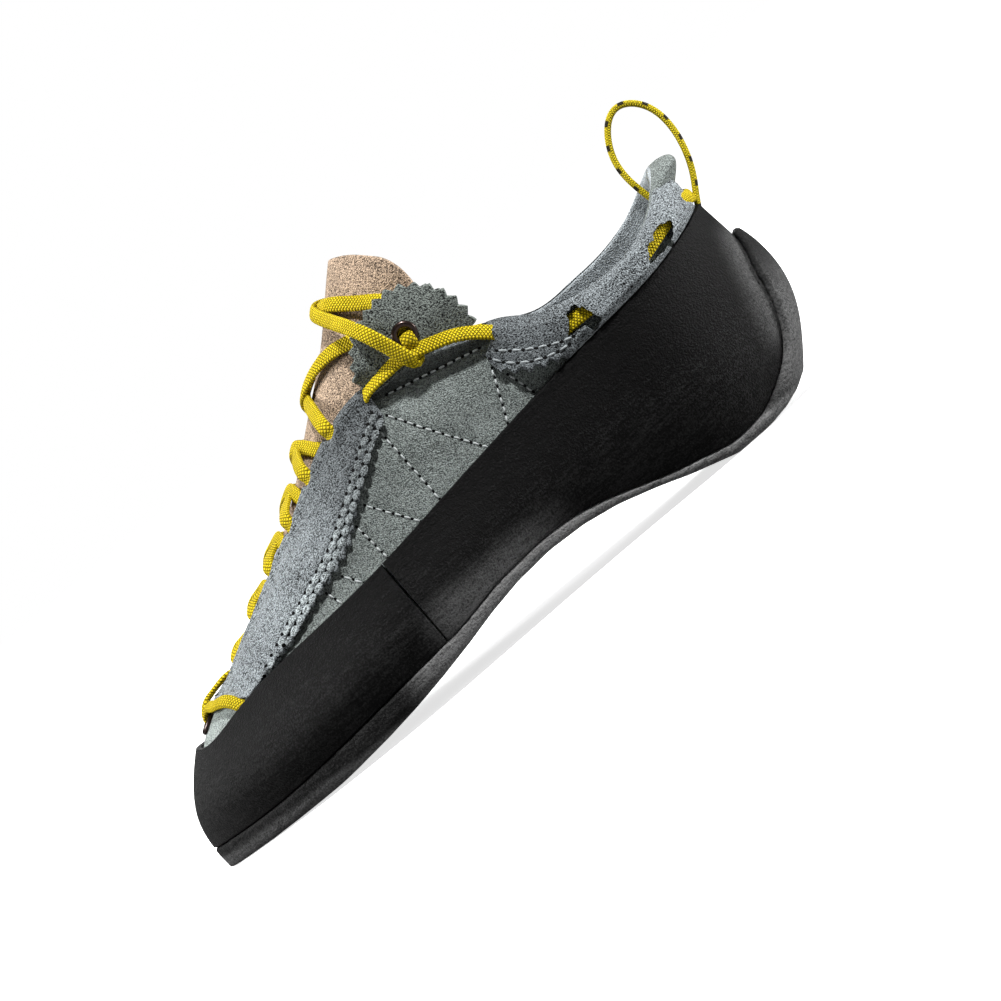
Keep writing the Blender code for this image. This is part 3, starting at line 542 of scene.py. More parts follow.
def grid_faces(index, ring):
    if ring:
        index = np.concatenate([index, index[:1]])
    corners = index[:-1, :-1], index[1:, :-1], index[1:, 1:], index[:-1, 1:]
    return np.stack(corners, -1).reshape(-1, 4)


def make(name, points, faces, finishes, kinds=None, sharp=50, closed=True):
    """A smooth-shaded piece; kinds gives each face's finish, and a closed form's faces turn outwards."""
    data = bpy.data.meshes.new(name)
    data.from_pydata(placed(points).tolist(), [], [tuple(face) for face in faces])
    for finish in finishes:
        data.materials.append(finish)
    if kinds is not None:
        data.polygons.foreach_set("material_index", np.asarray(kinds, np.int32))
    if closed:
        mesh = bmesh.new()
        mesh.from_mesh(data)
        bmesh.ops.recalc_face_normals(mesh, faces=mesh.faces)
        mesh.to_mesh(data)
        mesh.free()
    data.polygons.foreach_set("use_smooth", np.ones(len(data.polygons), bool))
    data.set_sharp_from_angle(angle=radians(sharp))
    made = bpy.data.objects.new(name, data)
    bpy.context.scene.collection.objects.link(made)
    return made


def run_lengths(points, axis):
    steps = np.linalg.norm(np.diff(points, axis=axis), axis=-1)
    start = np.zeros_like(np.take(steps, [0], axis=axis))
    return np.concatenate([start, np.cumsum(steps, axis=axis)], axis=axis)


def border_share(base, ring, edge, end_edge):
    """0 on the grid's border to 1 further in than edge mm, or end_edge mm at the first and last rows."""
    up = run_lengths(base, 1)
    share = np.minimum(up, up[:, -1:] - up) / edge
    if not ring:
        way = run_lengths(base, 0)
        share = np.minimum(share, np.minimum(way, way[-1:] - way) / end_edge)
    return np.clip(share, 0, 1)


def grid_normals(base, ring=False):
    """The way out at each point of a grid, to the side its rows and columns turn to."""
    by_row = np.roll(base, -1, 0) - np.roll(base, 1, 0) if ring else np.gradient(base, axis=0)
    return unit(np.cross(by_row, np.gradient(base, axis=1)))


# A sheet's border: the share of the thickness where its two faces meet.
RIM_SHARE = 0.35


def rounded_sheet(name, base, out, low, high, finishes, edge, ring=False, end_edge=None):
    """A closed sheet from low to high mm off a grid, its border rounded over within edge mm."""
    end_edge = edge if end_edge is None else end_edge
    dome = np.sqrt(1 - (1 - border_share(base, ring, edge, end_edge)) ** 2)
    low, high = np.broadcast_to(low, dome.shape), np.broadcast_to(high, dome.shape)
    over = base + out * mixed(low, high, mixed(RIM_SHARE, 1.0, dome))[..., None]
    under = base + out * mixed(low, high, RIM_SHARE * (1 - dome))[..., None]
    count = dome.size
    top = np.arange(count).reshape(dome.shape)
    bottom = top + count
    rims = [np.stack([top[:, k], bottom[:, k]], 1) for k in (0, -1)]
    faces = [grid_faces(top, ring), grid_faces(bottom, ring)[:, ::-1]]
    faces += [grid_faces(rim, ring) for rim in rims]
    if not ring:
        faces += [grid_faces(np.stack([top[k], bottom[k]], 1), False) for k in (0, -1)]
    kinds = np.zeros(sum(len(part) for part in faces), int)
    kinds[len(faces[0]) : len(faces[0]) + len(faces[1])] = len(finishes) - 1
    points = np.concatenate([over.reshape(-1, 3), under.reshape(-1, 3)])
    return make(name, points, np.concatenate(faces), finishes, kinds)


def crowded(start, stop, count):
    """Places from start to stop, closer together at both ends."""
    share = np.linspace(0, 1, count)
    crowding = 0.6
    return mixed(start, stop, mixed(share, eased(share), crowding))


def clear_of(view, spots):
    """Distance from each point of a side view to the nearest spot."""
    flat = view.reshape(-1, 2)
    near = np.min(np.linalg.norm(flat[:, None] - spots[None], axis=-1), axis=1)
    return near.reshape(view.shape[:-1])


# Seams in side view: rows of (x, z), the same on both sides.
Seams = namedtuple("Seams", "pitch rows")
FACING_SEAMS = Seams(3.7, (
    ((46, 40.6), (54, 42.8), (60, 45.7), (66.5, 48.0), (76, 51.8), (83, 54.4), (91, 58.6), (100, 64.2),
     (109.5, 70.4), (116, 74.6), (123.5, 78.6)),
    ((48.5, 42.6), (55, 45.4), (61.5, 48.3), (68, 50.6), (78, 54.7), (85, 57.4), (92, 61.4), (100.5, 66.9),
     (107, 71.3), (114, 76), (122.5, 81)),
))
CUFF_SEAMS = Seams(3.9, (
    ((160.6, 74.0), (165, 69.8), (170, 66.0), (175, 63.0), (180, 60.8), (184, 59.6)),
    ((160.4, 70.6), (163.2, 66.6), (167.5, 63.0), (172, 60.6), (177, 59.2), (181.5, 58.6)),
))
QUILT_SEAMS = Seams(2.9, (
    ((77, 48.0), (79, 42.2)),
    ((84, 49.0), (88, 43.4)),
    ((97, 57.5), (98.2, 44.4)),
    ((103, 61.0), (113, 46.4)),
    ((120.8, 75.5), (121.6, 48.0)),
    ((125.5, 77.5), (131, 68.5), (143, 50.0)),
    ((159, 68.0), (152, 52.2)),
    ((161.5, 63.5), (164, 54.6)),
    ((129.5, 82.2), (145, 78.6), (160, 75.0)),
))
LINE_PITCH = 0.8
LINE_SPREAD = 1.05
PIT_SPREAD = 0.85


def stepped(rows, pitch):
    """Points along a side-view line, pitch mm apart."""
    rows = np.array(rows, float)
    length = np.concatenate([[0], np.cumsum(np.linalg.norm(np.diff(rows, axis=0), axis=1))])
    places = np.linspace(0, length[-1], max(2, int(round(length[-1] / pitch)) + 1))
    return np.stack([np.interp(places, length, rows[:, k]) for k in (0, 1)], -1)


def pulled_in(points, seams, line_deep, hole_deep):
    """How far stitching pulls a surface in along each row (or puffs it out, below 0) and at each hole."""
    view = points[..., [0, 2]]
    line, hole = (
        clear_of(view, np.concatenate([stepped(rows, pitch) for rows in seams.rows]))
        for pitch in (LINE_PITCH, seams.pitch)
    )
    pit = bell(hole, PIT_SPREAD)
    return line_deep * bell(line, LINE_SPREAD) * (1 - pit) + hole_deep * pit


# Upper: one hollow wall, its quarter pulled in by the quilting and its collar edge turned.
UPPER_COLUMNS = 520
UPPER_ROWS = ((0, 1.85, 8), (1.9, 3.8, 62), (3.82, 4, 10))
QUILT_DEEP, QUILT_PIT = 0.45, 0.7
COLLAR_RIM = 0.6
COLLAR_RIM_DOWN, COLLAR_RIM_SPREAD = 2.0, 1.6
COLLAR_FROM = (150, 170)
QUARTER_SAG = 0.35
TAB_SPREAD = 0.5
TAB_FROM = (73, 80)
TAB_PAD_OUT, TAB_PAD_IN = 6.6, 3.0
UPPER_ROUND, TAB_ROUND = 1.2, 3.4


def upper_wall():
    t = np.linspace(0, LAPS, UPPER_COLUMNS, endpoint=False)
    rows = np.concatenate([np.linspace(*part) for part in UPPER_ROWS])
    t_grid, h_grid = np.meshgrid(t, rows, indexing="ij")
    base = wall(t_grid, h_grid)
    x, _, z = np.moveaxis(base, -1, 0)
    out = grid_normals(base, ring=True)
    up = run_lengths(base, 1)
    rim = ramp(x, *COLLAR_FROM) * bell(up[:, -1:] - up, COLLAR_RIM_SPREAD, COLLAR_RIM_DOWN)
    sag = np.sin(x / 8.7 + z / 13) * np.sin(z / 9.3 - x / 21) * ramp(h_grid, 2.1, 2.5)
    tab = bell(t_grid, TAB_SPREAD, HEEL)
    pad = tab * ramp(z, *TAB_FROM)
    low = -UPPER_WALL - TAB_PAD_IN * pad
    high = COLLAR_RIM * rim + QUARTER_SAG * sag + TAB_PAD_OUT * pad
    high -= pulled_in(base, QUILT_SEAMS, QUILT_DEEP, QUILT_PIT)
    edge = UPPER_ROUND + TAB_ROUND * tab
    return rounded_sheet("upper_suede", base, out, low, high, (QUARTER_SUEDE, LINING), edge, ring=True)


# Rand: rubber over the upper, in two lengths that butt at a seam each side.
# SEAM_HALF is in ribs, RAND_FOOT and TOE_DROP are in line steps.
SEAM_X = 95.8
SEAM_HALF = 0.0025
RAND_FOOT = -0.026
RAND_SEAT = GAP * 0.4
RAND_WAVE = 0.18
RAND_ROUND, SEAM_ROUND = 0.8, 0.3
TOE_DROP = 0.12
SOLE_LAP = 1.8
SOLE_LAP_SPAN = (98, 120, 188, 204)


def seam_ribs(h, side):
    """The t of the upright seam at each h of one side."""
    start, stop = 0.5, HEEL - 0.5
    if side == INNER:
        start, stop = LAPS - start, LAPS - stop
    return halved(start, stop, lambda t: wall(t, h)[..., 0] < SEAM_X)


def lap(t):
    """How far the sole laps up the wall along the arch, in line steps."""
    x = wall(t, 0.0)[..., 0]
    return SOLE_LAP * within(x, *SOLE_LAP_SPAN) / line_mm(t, 0.0)


def rand(name, toe):
    """One length of rand: round the toe, or round the heel."""
    share = np.unique(np.concatenate([crowded(0, 1, 44), np.linspace(0.965, 1, 8)]))
    seam_h = mixed(RAND_FOOT, RAND_TOP, share)
    start, stop = seam_ribs(seam_h, OUTER), seam_ribs(seam_h, INNER)
    if toe:
        start, stop = stop - LAPS, start
    along = crowded(0, 1, 170 if toe else 310)
    ends = np.linspace(0.0003, 0.004, 6)
    along = np.unique(np.concatenate([along, ends, 1 - ends]))
    t_grid = mixed(start + SEAM_HALF, stop - SEAM_HALF, along[:, None])
    from_toe = np.minimum(t_grid % LAPS, LAPS - t_grid % LAPS)
    top = RAND_TOP - TOE_DROP * (1 - ramp(from_toe, 0.5, 1.7))
    h_grid = mixed(RAND_FOOT + lap(t_grid), top, share)
    base = wall(t_grid, h_grid)
    out = grid_normals(base)
    wave = np.sin(base[..., 0] / 17 + 0.6) * np.sin(base[..., 2] / 11)
    high = RAND_OUT + RAND_WAVE * wave
    return rounded_sheet(name, base, out, RAND_SEAT, high, (RUBBER,), RAND_ROUND, end_edge=SEAM_ROUND)


# Outsole: a dished plate under the wall and a strip drawn up the heel, melted into one rubber form.
SoleRow = namedtuple("SoleRow", "x bottom crown bevel")
SOLE_ROWS = (
    SoleRow(0.0, 0.0, 0.0, 0.5),
    SoleRow(16.0, 0.0, 0.0, 1.2),
    SoleRow(44.0, 0.0, 0.9, 2.4),
    SoleRow(52.0, 0.3, 1.4, 2.4),
    SoleRow(64.0, 1.7, 1.3, 2.4),
    SoleRow(76.0, 3.6, 1.1, 2.2),
    SoleRow(88.0, 5.9, 0.9, 2.0),
    SoleRow(100.0, 8.3, 0.9, 1.6),
    SoleRow(112.0, 11.2, 0.8, 1.2),
    SoleRow(124.0, 13.3, 0.7, 1.0),
    SoleRow(137.0, 14.2, 0.6, 1.0),
    SoleRow(150.0, 13.4, 0.6, 1.0),
    SoleRow(162.0, 11.2, 0.6, 1.0),
    SoleRow(174.0, 7.6, 0.6, 1.0),
    SoleRow(185.0, 3.7, 0.7, 1.0),
    SoleRow(194.0, 1.2, 0.6, 1.2),
    SoleRow(200.0, 0.0, 0.0, 1.2),
    SoleRow(214.0, 0.0, 0.0, 1.2),
    SoleRow(221.0, 0.6, 0.2, 1.2),
    SoleRow(228.0, 2.2, 0.1, 1.0),
    SoleRow(235.0, 5.6, 0.0, 1.0),
)
WrapRow = namedtuple("WrapRow", "h spread middle edge")
WRAP_ROWS = (
    WrapRow(0.00, 0.95, 3.7, 1.2),
    WrapRow(0.127, 0.70, 3.7, 1.6),
    WrapRow(0.30, 0.45, 3.7, 2.0),
    WrapRow(0.60, 0.365, 3.8, 2.2),
    WrapRow(0.92, 0.345, 3.8, 2.2),
    WrapRow(1.19, 0.31, 3.5, 2.1),
    WrapRow(1.36, 0.21, 3.0, 1.8),
    WrapRow(1.53, 0.1, 2.0, 1.3),
)
SHELF_IN = UPPER_WALL + 1.0
DISH_IN = 6.0
RIM_OUT = RAND_OUT + 0.35
RIM_LEAN, HEEL_LEAN = 0.4, 2.5
LOW_EDGE = 0.6
HEEL_BEVEL = 8.0
WRAP_SEAT = RAND_OUT + 0.5
WRAP_SPAN = WRAP_ROWS[0].spread
WRAP_ROUND = 0.8
WRAP_BLEND = (1.25, 0.95)
BACK_BLEND = (1.2, 0.2)
STRIP_SEAT = RAND_OUT + 0.1
SOLE_VOXEL = 0.8
TIP = 0.03
SoleEdge = namedtuple("SoleEdge", "dish shelf rim_foot rim_in rim_out low bevel")


def sole_size(column, x):
    """A column of the sole's rows at lengths x."""
    return np.interp(x, [row.x for row in SOLE_ROWS], [getattr(row, column) for row in SOLE_ROWS])


def sole_rib(t):
    """Edge of the plate at ribs t, from the dish above out to the rim and down to the bevel."""
    share = np.abs((t - HEEL) / WRAP_SPAN)[:, None]
    heel = ramp(share, *WRAP_BLEND)
    back = ramp(share, *BACK_BLEND)
    foot, out = wall(t, 0.0), wall_normal(t, 0.0)
    seat = foot - up_from_foot(t) * GAP
    level = unit(out * (1, 1, 0))
    ledge = WRAP_SEAT + mixed(WRAP_ROWS[0].middle, WRAP_ROWS[0].edge, np.minimum(share, 1) ** 2)
    brim = seat + wall(t, lap(t)) - foot
    lap_out = wall_normal(t, lap(t))
    rim_foot = seat + out * GAP
    rim_in = brim + lap_out * GAP
    rim_out = brim + lap_out * mixed(RIM_OUT, ledge, heel)
    shelf = seat - out * SHELF_IN
    dish = shelf - level * DISH_IN
    dish[:, 2] = np.minimum(sole_size("bottom", dish[:, 0]) + SOLE_THICK, shelf[:, 2])
    crown = sole_size("crown", rim_out[:, 0])
    bevel_size = sole_size("bevel", rim_out[:, 0])
    low = rim_out - level * mixed(RIM_LEAN, HEEL_LEAN, back)
    low[:, 2] = sole_size("bottom", low[:, 0]) + mixed(crown + bevel_size, LOW_EDGE, back[:, 0])
    low[:, 2] = np.minimum(low[:, 2], rim_out[:, 2] - LOW_EDGE)
    bevel = rim_out - level * mixed(bevel_size[:, None], HEEL_BEVEL, back)
    bevel[:, 2] = sole_size("bottom", bevel[:, 0]) + mixed(crown, 0.0, back[:, 0])
    return SoleEdge(dish, shelf, rim_foot, rim_in, rim_out, low, bevel)


def half_columns(count):
    return np.clip(np.linspace(0, HEEL, count), TIP, HEEL - TIP)


def loft_mesh(rings):
    """Points and faces of a closed form through rings of points, with fans at both ends."""
    count, size = rings.shape[:2]
    index = np.arange(count * size).reshape(count, size)
    faces = grid_faces(np.concatenate([index, index[:, :1]], 1), False).tolist()
    return rings.reshape(-1, 3), faces + [index[0].tolist(), index[-1].tolist()]


def dish_middle(one, two):
    """The dish's middle line between its edges on both sides."""
    middle = (one + two) / 2
    middle[:, 2] = np.minimum(sole_size("bottom", middle[:, 0]) + SOLE_THICK, np.maximum(one, two)[:, 2])
    return middle


def sole_plate():
    t = half_columns(170)
    one, two = sole_rib(t), sole_rib(LAPS - t)
    top = dish_middle(one.dish, two.dish)
    under = (one.bevel + two.bevel) / 2
    under[:, 2] = sole_size("bottom", under[:, 0])
    return loft_mesh(np.stack([top, *one, under, *reversed(two)], 1))


def heel_strip():
    f = np.linspace(-1, 1, 61)
    rows = Curve([(row.h, row.spread, row.middle) for row in WRAP_ROWS])
    edges = Curve([(row.h, row.edge, 0) for row in WRAP_ROWS])
    at = np.linspace(0, len(WRAP_ROWS) - 1, 60)
    h, spread, middle = rows(at).T
    f_grid, h_grid = np.meshgrid(f, h, indexing="ij")
    t_grid = HEEL + f_grid * spread
    base = wall(t_grid, h_grid)
    out = grid_normals(base)
    high = WRAP_SEAT + mixed(middle, edges(at)[:, 1], f_grid**2)
    return rounded_sheet("heel strip", base, out, STRIP_SEAT, high, (SOLE_RUBBER,), WRAP_ROUND)


def outsole():
    points, faces = sole_plate()
    plate = make("outsole_rubber", points, faces, (SOLE_RUBBER,))
    strip = heel_strip()
    melt = bmesh.new()
    melt.from_mesh(plate.data)
    melt.from_mesh(strip.data)
    melt.to_mesh(plate.data)
    melt.free()
    bpy.data.objects.remove(strip)
    remesh = plate.modifiers.new("melt", "REMESH")
    remesh.mode = "VOXEL"
    remesh.voxel_size = SOLE_VOXEL * MM
    remesh.use_smooth_shade = True
    soft = plate.modifiers.new("soft edges", "SMOOTH")
    soft.factor = 0.5
    soft.iterations = 5
    return plate


# Insole: a thin bed on the sole's dish.
INSOLE_THICK = 1.6
INSOLE_LIFT = 0.6
INSOLE_IN = UPPER_WALL + 1.4
INSOLE_EDGE_UP = 0.4


def bed_edge(t):
    return wall(t, 0.0) - wall_normal(t, 0.0) * INSOLE_IN + up_from_foot(t) * INSOLE_EDGE_UP


def insole():
    t = half_columns(110)
    outer, inner = sole_rib(t).dish, sole_rib(LAPS - t).dish
    lift = np.array([0, 0, INSOLE_LIFT])
    across = [line + lift for line in (outer, dish_middle(outer, inner), inner)]
    bed = [bed_edge(t), *across, bed_edge(LAPS - t)]
    fine = []
    for one, two in zip(bed, bed[1:]):
        fine += [mixed(one, two, share) for share in (0, 0.34, 0.67)]
    fine.append(bed[-1])
    ring = fine + [p + (0, 0, INSOLE_THICK) for p in reversed(fine)]
    return make("insole_bed", *loft_mesh(np.stack(ring, 1)), (FOOT_BED,))


# Tongue: half-oval sections square to its ridge, with a thick cut edge.
TongueRow = namedtuple("TongueRow", "x z middle_y half drop")
TONGUE_ROWS = (
    TongueRow(35.0, 41.6, 10.8, 6.4, 5.0),
    TongueRow(45.0, 48.2, 9.6, 8.8, 7.0),
    TongueRow(60.0, 57.8, 8.0, 11.8, 10.0),
    TongueRow(76.0, 68.4, 6.0, 14.8, 13.0),
    TongueRow(92.0, 80.0, 4.0, 17.4, 16.0),
    TongueRow(106.0, 91.6, 2.4, 19.0, 20.5),
    TongueRow(120.0, 103.0, 1.4, 19.6, 24.0),
    TongueRow(132.0, 114.5, 1.0, 21.0, 28.5),
    TongueRow(142.5, 125.0, 0.8, 21.6, 31.0),
)
# TONGUE_HORNS and TONGUE_CORNERS are in rows of the ridge.
TONGUE_THICK = 1.8
TONGUE_TURN = 0.96 * pi / 2
TONGUE_HORNS = 0.14
TONGUE_CORNERS = 0.62
TONGUE_CORNER_FROM = 0.64
TONGUE_WAVE = 0.4
TONGUE_ROUND = 0.9
TONGUE_END = len(TONGUE_ROWS) - 1
ridge = Curve([(row.x, row.middle_y, row.z) for row in TONGUE_ROWS])
tongue_form = Curve([(row.half, row.drop, 0) for row in TONGUE_ROWS])


def tongue_at(s, w):
    """A point of the tongue's outer face: s along its ridge, w from -1 to 1 across."""
    s, w = np.broadcast_arrays(np.asarray(s, float), np.asarray(w, float))
    inside = np.clip(s, EDGE_STEP, TONGUE_END - EDGE_STEP)
    way = unit((ridge(inside + EDGE_STEP) - ridge(inside - EDGE_STEP)) * (1, 0, 1))
    inward = np.stack([way[..., 2], np.zeros_like(s), -way[..., 0]], -1)
    half, drop, _ = np.moveaxis(tongue_form(s), -1, 0)
    turn = w * TONGUE_TURN
    across = np.stack([np.zeros_like(s), half * np.sin(turn), np.zeros_like(s)], -1)
    return ridge(s) + across + inward * (drop * (1 - np.cos(turn)))[..., None]


def tongue_normal(s, w):
    step = 0.03
    by_s = tongue_at(np.minimum(s + step, TONGUE_END), w) - tongue_at(np.maximum(s - step, 0), w)
    by_w = tongue_at(s, np.asarray(w) + SLOPE_STEP) - tongue_at(s, np.asarray(w) - SLOPE_STEP)
    return unit(np.cross(by_s, by_w))


def off_tongue(s, w, away):
    """A point away mm off the tongue, and the way out there."""
    return tongue_at(s, w) + tongue_normal(s, w) * away, tongue_normal(s, w)


def tongue():
    w = crowded(-1, 1, 96)
    corner = np.clip((np.abs(w) - TONGUE_CORNER_FROM) / (1 - TONGUE_CORNER_FROM), 0, 1)
    end = TONGUE_END + TONGUE_HORNS * ramp(np.abs(w), 0, 0.5) - TONGUE_CORNERS * corner**2
    s_grid = crowded(0, 1, 150)[:, None] * end
    w_grid = np.broadcast_to(w, s_grid.shape)
    base = tongue_at(s_grid, w_grid)
    out = grid_normals(base)
    _, y, z = np.moveaxis(base, -1, 0)
    soft = TONGUE_WAVE * np.sin(z / 7 + y / 9) * np.sin(y / 6 - 0.5)
    finishes = TAN_SUEDE, LINING
    return rounded_sheet("tongue_suede", base, out, soft - TONGUE_THICK, soft, finishes, TONGUE_ROUND)


# Facings beside the throat: folded at the lace edge with a notch at each turn, pinked below.
NOTCHES = (34.0, 43.0, 56.0, 69.0, 82.5, 96.0, 109.5)
NOTCH_HALF = 2.9
NOTCH_DEEP = 3.0
FACING_FRONT, FACING_BACK = 31.0, 125.6
FACING_EDGE = (
    (30.0, 36.0),
    (60.0, 42.4),
    (65.0, 44.2),
    (73.5, 47.4),
    (82.5, 49.8),
    (87.0, 51.4),
    (92.0, 53.6),
    (98.5, 59.0),
    (106.0, 64.8),
    (113.0, 70.0),
    (120.5, 74.8),
    (127.0, 78.6),
)
PINK_PITCH = 4.4
PINK_DEEP = 1.8
FACING_FOOT, FACING_RAKE = 38.0, 0.3
FACING_SEAT = 0.2
FACING_CURL, FACING_CURL_UP = 0.35, 2.2
FACING_SAG = 0.3
FACING_FADE = 0.1
FACING_PUFF, FACING_PIT = -0.55, 0.2
FOLD_PROUD = 1.15
FOLD_DOWN, FOLD_SPREAD = 3.0, 2.4
OVERLAY_ROUND = 0.8


def pinked(run):
    """Teeth of a pinked edge at lengths along it: how far it is cut back."""
    return PINK_DEEP * np.abs((run / PINK_PITCH) % 1 * 2 - 1)


def pinked_foot(edge, t, fade):
    """The h of a pinked lower edge at ribs t, and how free of the rand it is; its teeth fade in there."""
    low = on_edge(edge, t)
    free = ramp(low - RAND_TOP, SLOPE_STEP, SLOPE_STEP + fade)
    return low + free * pinked(run_lengths(wall(t, low), 0)) / line_mm(t, low), free


def facing(name, side):
    x = np.linspace(FACING_FRONT, FACING_BACK, 330)
    tops = rib_at(x, TOP_EDGE, side)
    feet = rib_at(FACING_FOOT + FACING_RAKE * (x - FACING_FRONT), RAND_TOP, side)
    feet = np.minimum(feet, tops) if side == INNER else np.maximum(feet, tops)
    low, free = pinked_foot(FACING_EDGE, feet, FACING_FADE)
    dip = np.max([np.cos(np.clip((x - notch) / NOTCH_HALF, -1, 1) * pi / 2) for notch in NOTCHES], axis=0)
    high = TOP_EDGE - NOTCH_DEEP * dip**0.7 / top_mm(tops)
    r = crowded(0, 1, 74)
    t_grid = mixed(feet[:, None], tops[:, None], r)
    h_grid = mixed(low[:, None], high[:, None], r)
    base = wall(t_grid, h_grid)
    x, _, z = np.moveaxis(base, -1, 0)
    out = grid_normals(base) * -side
    up = run_lengths(base, 1)
    lifted = FACING_SEAT + FACING_CURL * bell(up, FACING_CURL_UP) * free[:, None]
    fold = FOLD_PROUD * bell(up[:, -1:] - up, FOLD_SPREAD, FOLD_DOWN)
    sag = FACING_SAG * np.sin(x / 6.3 + z / 17) * np.sin(z / 8 - 1)
    outside = lifted + OVERLAY_WALL + fold + sag - pulled_in(base, FACING_SEAMS, FACING_PUFF, FACING_PIT)
    return rounded_sheet(name, base, out, lifted, outside, (FACING_SUEDE,), OVERLAY_ROUND)


# Cuffs: collar tunnels over the ankle lace, pinked at the front, with two windows each.
# CUFF_BACK is in ribs, CUFF_LEAST and CUFF_FADE are in line steps.
CUFF_LOWER = (
    (157.5, 69.5),
    (159.5, 65.6),
    (162.5, 62.2),
    (166.0, 59.6),
    (171.0, 57.4),
    (176.0, 56.2),
    (182.0, 54.0),
    (260.0, 50.0),
)
CUFF_UPPER = (
    (150.0, 71.0),
    (158.6, 71.6),
    (162.0, 73.2),
    (165.4, 75.2),
    (165.9, 79.0),
    (168.4, 90.0),
    (226.5, 100.0),
    (229.5, 77.4),
    (260.0, 77.4),
)
CUFF_FRONT = 158.8
CUFF_FRONT_CORNER = 165.4
CUFF_STRAIGHT_END = 228.0
CUFF_BACK = 0.2
CUFF_LEAST = 0.12
CUFF_FADE = 0.12
CUFF_PEAK = {OUTER: 3.4, INNER: 0.6}
CUFF_PEAK_SPAN = (164.8, 166.2, 168.0, 183.0)
CUFF_SEAT = 0.3
CUFF_BOW = 3.0
CUFF_MOUTH = (161, 167)
CUFF_HEEL, CUFF_HEEL_FLAT = (229, 238), 0.75
CUFF_CURL, CUFF_CURL_SHARE = 1.5, 0.12
CUFF_PUCKER, CUFF_PUCKER_FROM = 0.35, (178, 186)
CUFF_SEAM_DEEP, CUFF_PIT = 0.3, 0.6
CUFF_WINDOWS = (
    ((183.4, 60.4), (185.2, 63.6), (188.4, 66.9), (190.6, 66.4),
     (192.2, 63.2), (193.6, 58.6), (190.4, 56.6), (188.2, 60.0)),
    ((216.6, 61.4), (218.6, 65.6), (221.4, 66.6), (226.2, 68.6),
     (229.4, 66.0), (227.0, 63.6), (225.2, 60.6), (222.6, 61.8)),
)
WINDOW_DEPTHS = (8.0, 60.0)
TORN_COARSE, TORN_FINE = 0.35, 0.25


def cuff_grid(side):
    """Ribs and lines of a cuff's grid, the shares up it, and how free its foot is of the rand."""
    front = np.linspace(CUFF_FRONT, CUFF_FRONT_CORNER, 22)
    x = np.concatenate([front, np.linspace(CUFF_FRONT_CORNER + 0.2, CUFF_STRAIGHT_END, 190)])
    t = rib_at(x, SHOULDER, side)
    t = np.concatenate([t, np.linspace(t[-1], HEEL + side * CUFF_BACK, 60)[1:]])
    low, free = pinked_foot(CUFF_LOWER, t, CUFF_FADE)
    high = np.maximum(on_edge(CUFF_UPPER, t), low + CUFF_LEAST)
    peak = CUFF_PEAK[side] * within(wall(t, high)[:, 0], *CUFF_PEAK_SPAN)
    high = high + peak / top_mm(t)
    r = crowded(0, 1, 44)
    t_grid = np.broadcast_to(t[:, None], (len(t), len(r)))
    h_grid = mixed(low[:, None], high[:, None], r)
    return t_grid, h_grid, r, free


def cuff(name, side):
    t_grid, h_grid, r, free = cuff_grid(side)
    base = wall(t_grid, h_grid)
    out = grid_normals(base) * -side
    x, _, z = np.moveaxis(base, -1, 0)
    mouth = ramp(x, *CUFF_MOUTH)
    heel = 1 - CUFF_HEEL_FLAT * ramp(x, *CUFF_HEEL)
    bow = CUFF_BOW * mouth * heel * np.minimum(1, 5 * r * (1 - r) + 0.5 * (1 - r) ** 3)
    lifted = CUFF_SEAT + bow + CUFF_CURL * free[:, None] * bell(r, CUFF_CURL_SHARE)
    pucker = CUFF_PUCKER * np.sin(x / 3.1 + side) * np.sin(z / 5.2) * ramp(x, *CUFF_PUCKER_FROM)
    outside = lifted + OVERLAY_WALL + pucker - pulled_in(base, CUFF_SEAMS, CUFF_SEAM_DEEP, CUFF_PIT)
    made = rounded_sheet(name, base, out, lifted, outside, (CUFF_SUEDE,), OVERLAY_ROUND)
    for number, rows in enumerate(CUFF_WINDOWS):
        cut_window(made, rows, side, number)
    return made


def cut_window(made, rows, side, number):
    """Cut a soft-cornered window, drawn in side view, through one side of a piece."""
    places = np.linspace(0, len(rows), 72, endpoint=False)
    outline = Curve([(x, 0, z) for x, z in rows], closed=True)(places)
    torn = TORN_COARSE * np.sin(places * 5.3 + number) + TORN_FINE * np.sin(places * 9.1)
    outline = outline + unit(outline - outline.mean(0)) * torn[:, None]
    rings = np.stack([outline + (0, side * y, 0) for y in WINDOW_DEPTHS])
    tool = make("window tool", *loft_mesh(rings), (CUFF_SUEDE,))
    cut = made.modifiers.new(f"window {number}", "BOOLEAN")
    cut.operation = "DIFFERENCE"
    cut.solver = "EXACT"
    cut.object = tool
    settle(made)
    bpy.data.objects.remove(tool)


def settle(made):
    """Apply a piece's modifiers to its mesh."""
    with bpy.context.temp_override(object=made, active_object=made, selected_objects=[made]):
        for modifier in list(made.modifiers):
            bpy.ops.object.modifier_apply(modifier=modifier.name)


# Wings: pinked ankle flaps drawn in side view, standing a little off the upper.
WING_OUTLINE = (
    (125.5, 85.0),
    (124.4, 88.5),
    (125.6, 93.0),
    (128.3, 97.3),
    (131.6, 101.3),
    (137.0, 104.4),
    (143.0, 105.8),
    (149.0, 106.2),
    (155.0, 103.9),
    (159.7, 99.7),
    (162.9, 94.2),
    (164.3, 88.0),
    (163.6, 82.2),
    (158.6, 80.9),
    (148.0, 82.6),
    (136.0, 84.2),
)
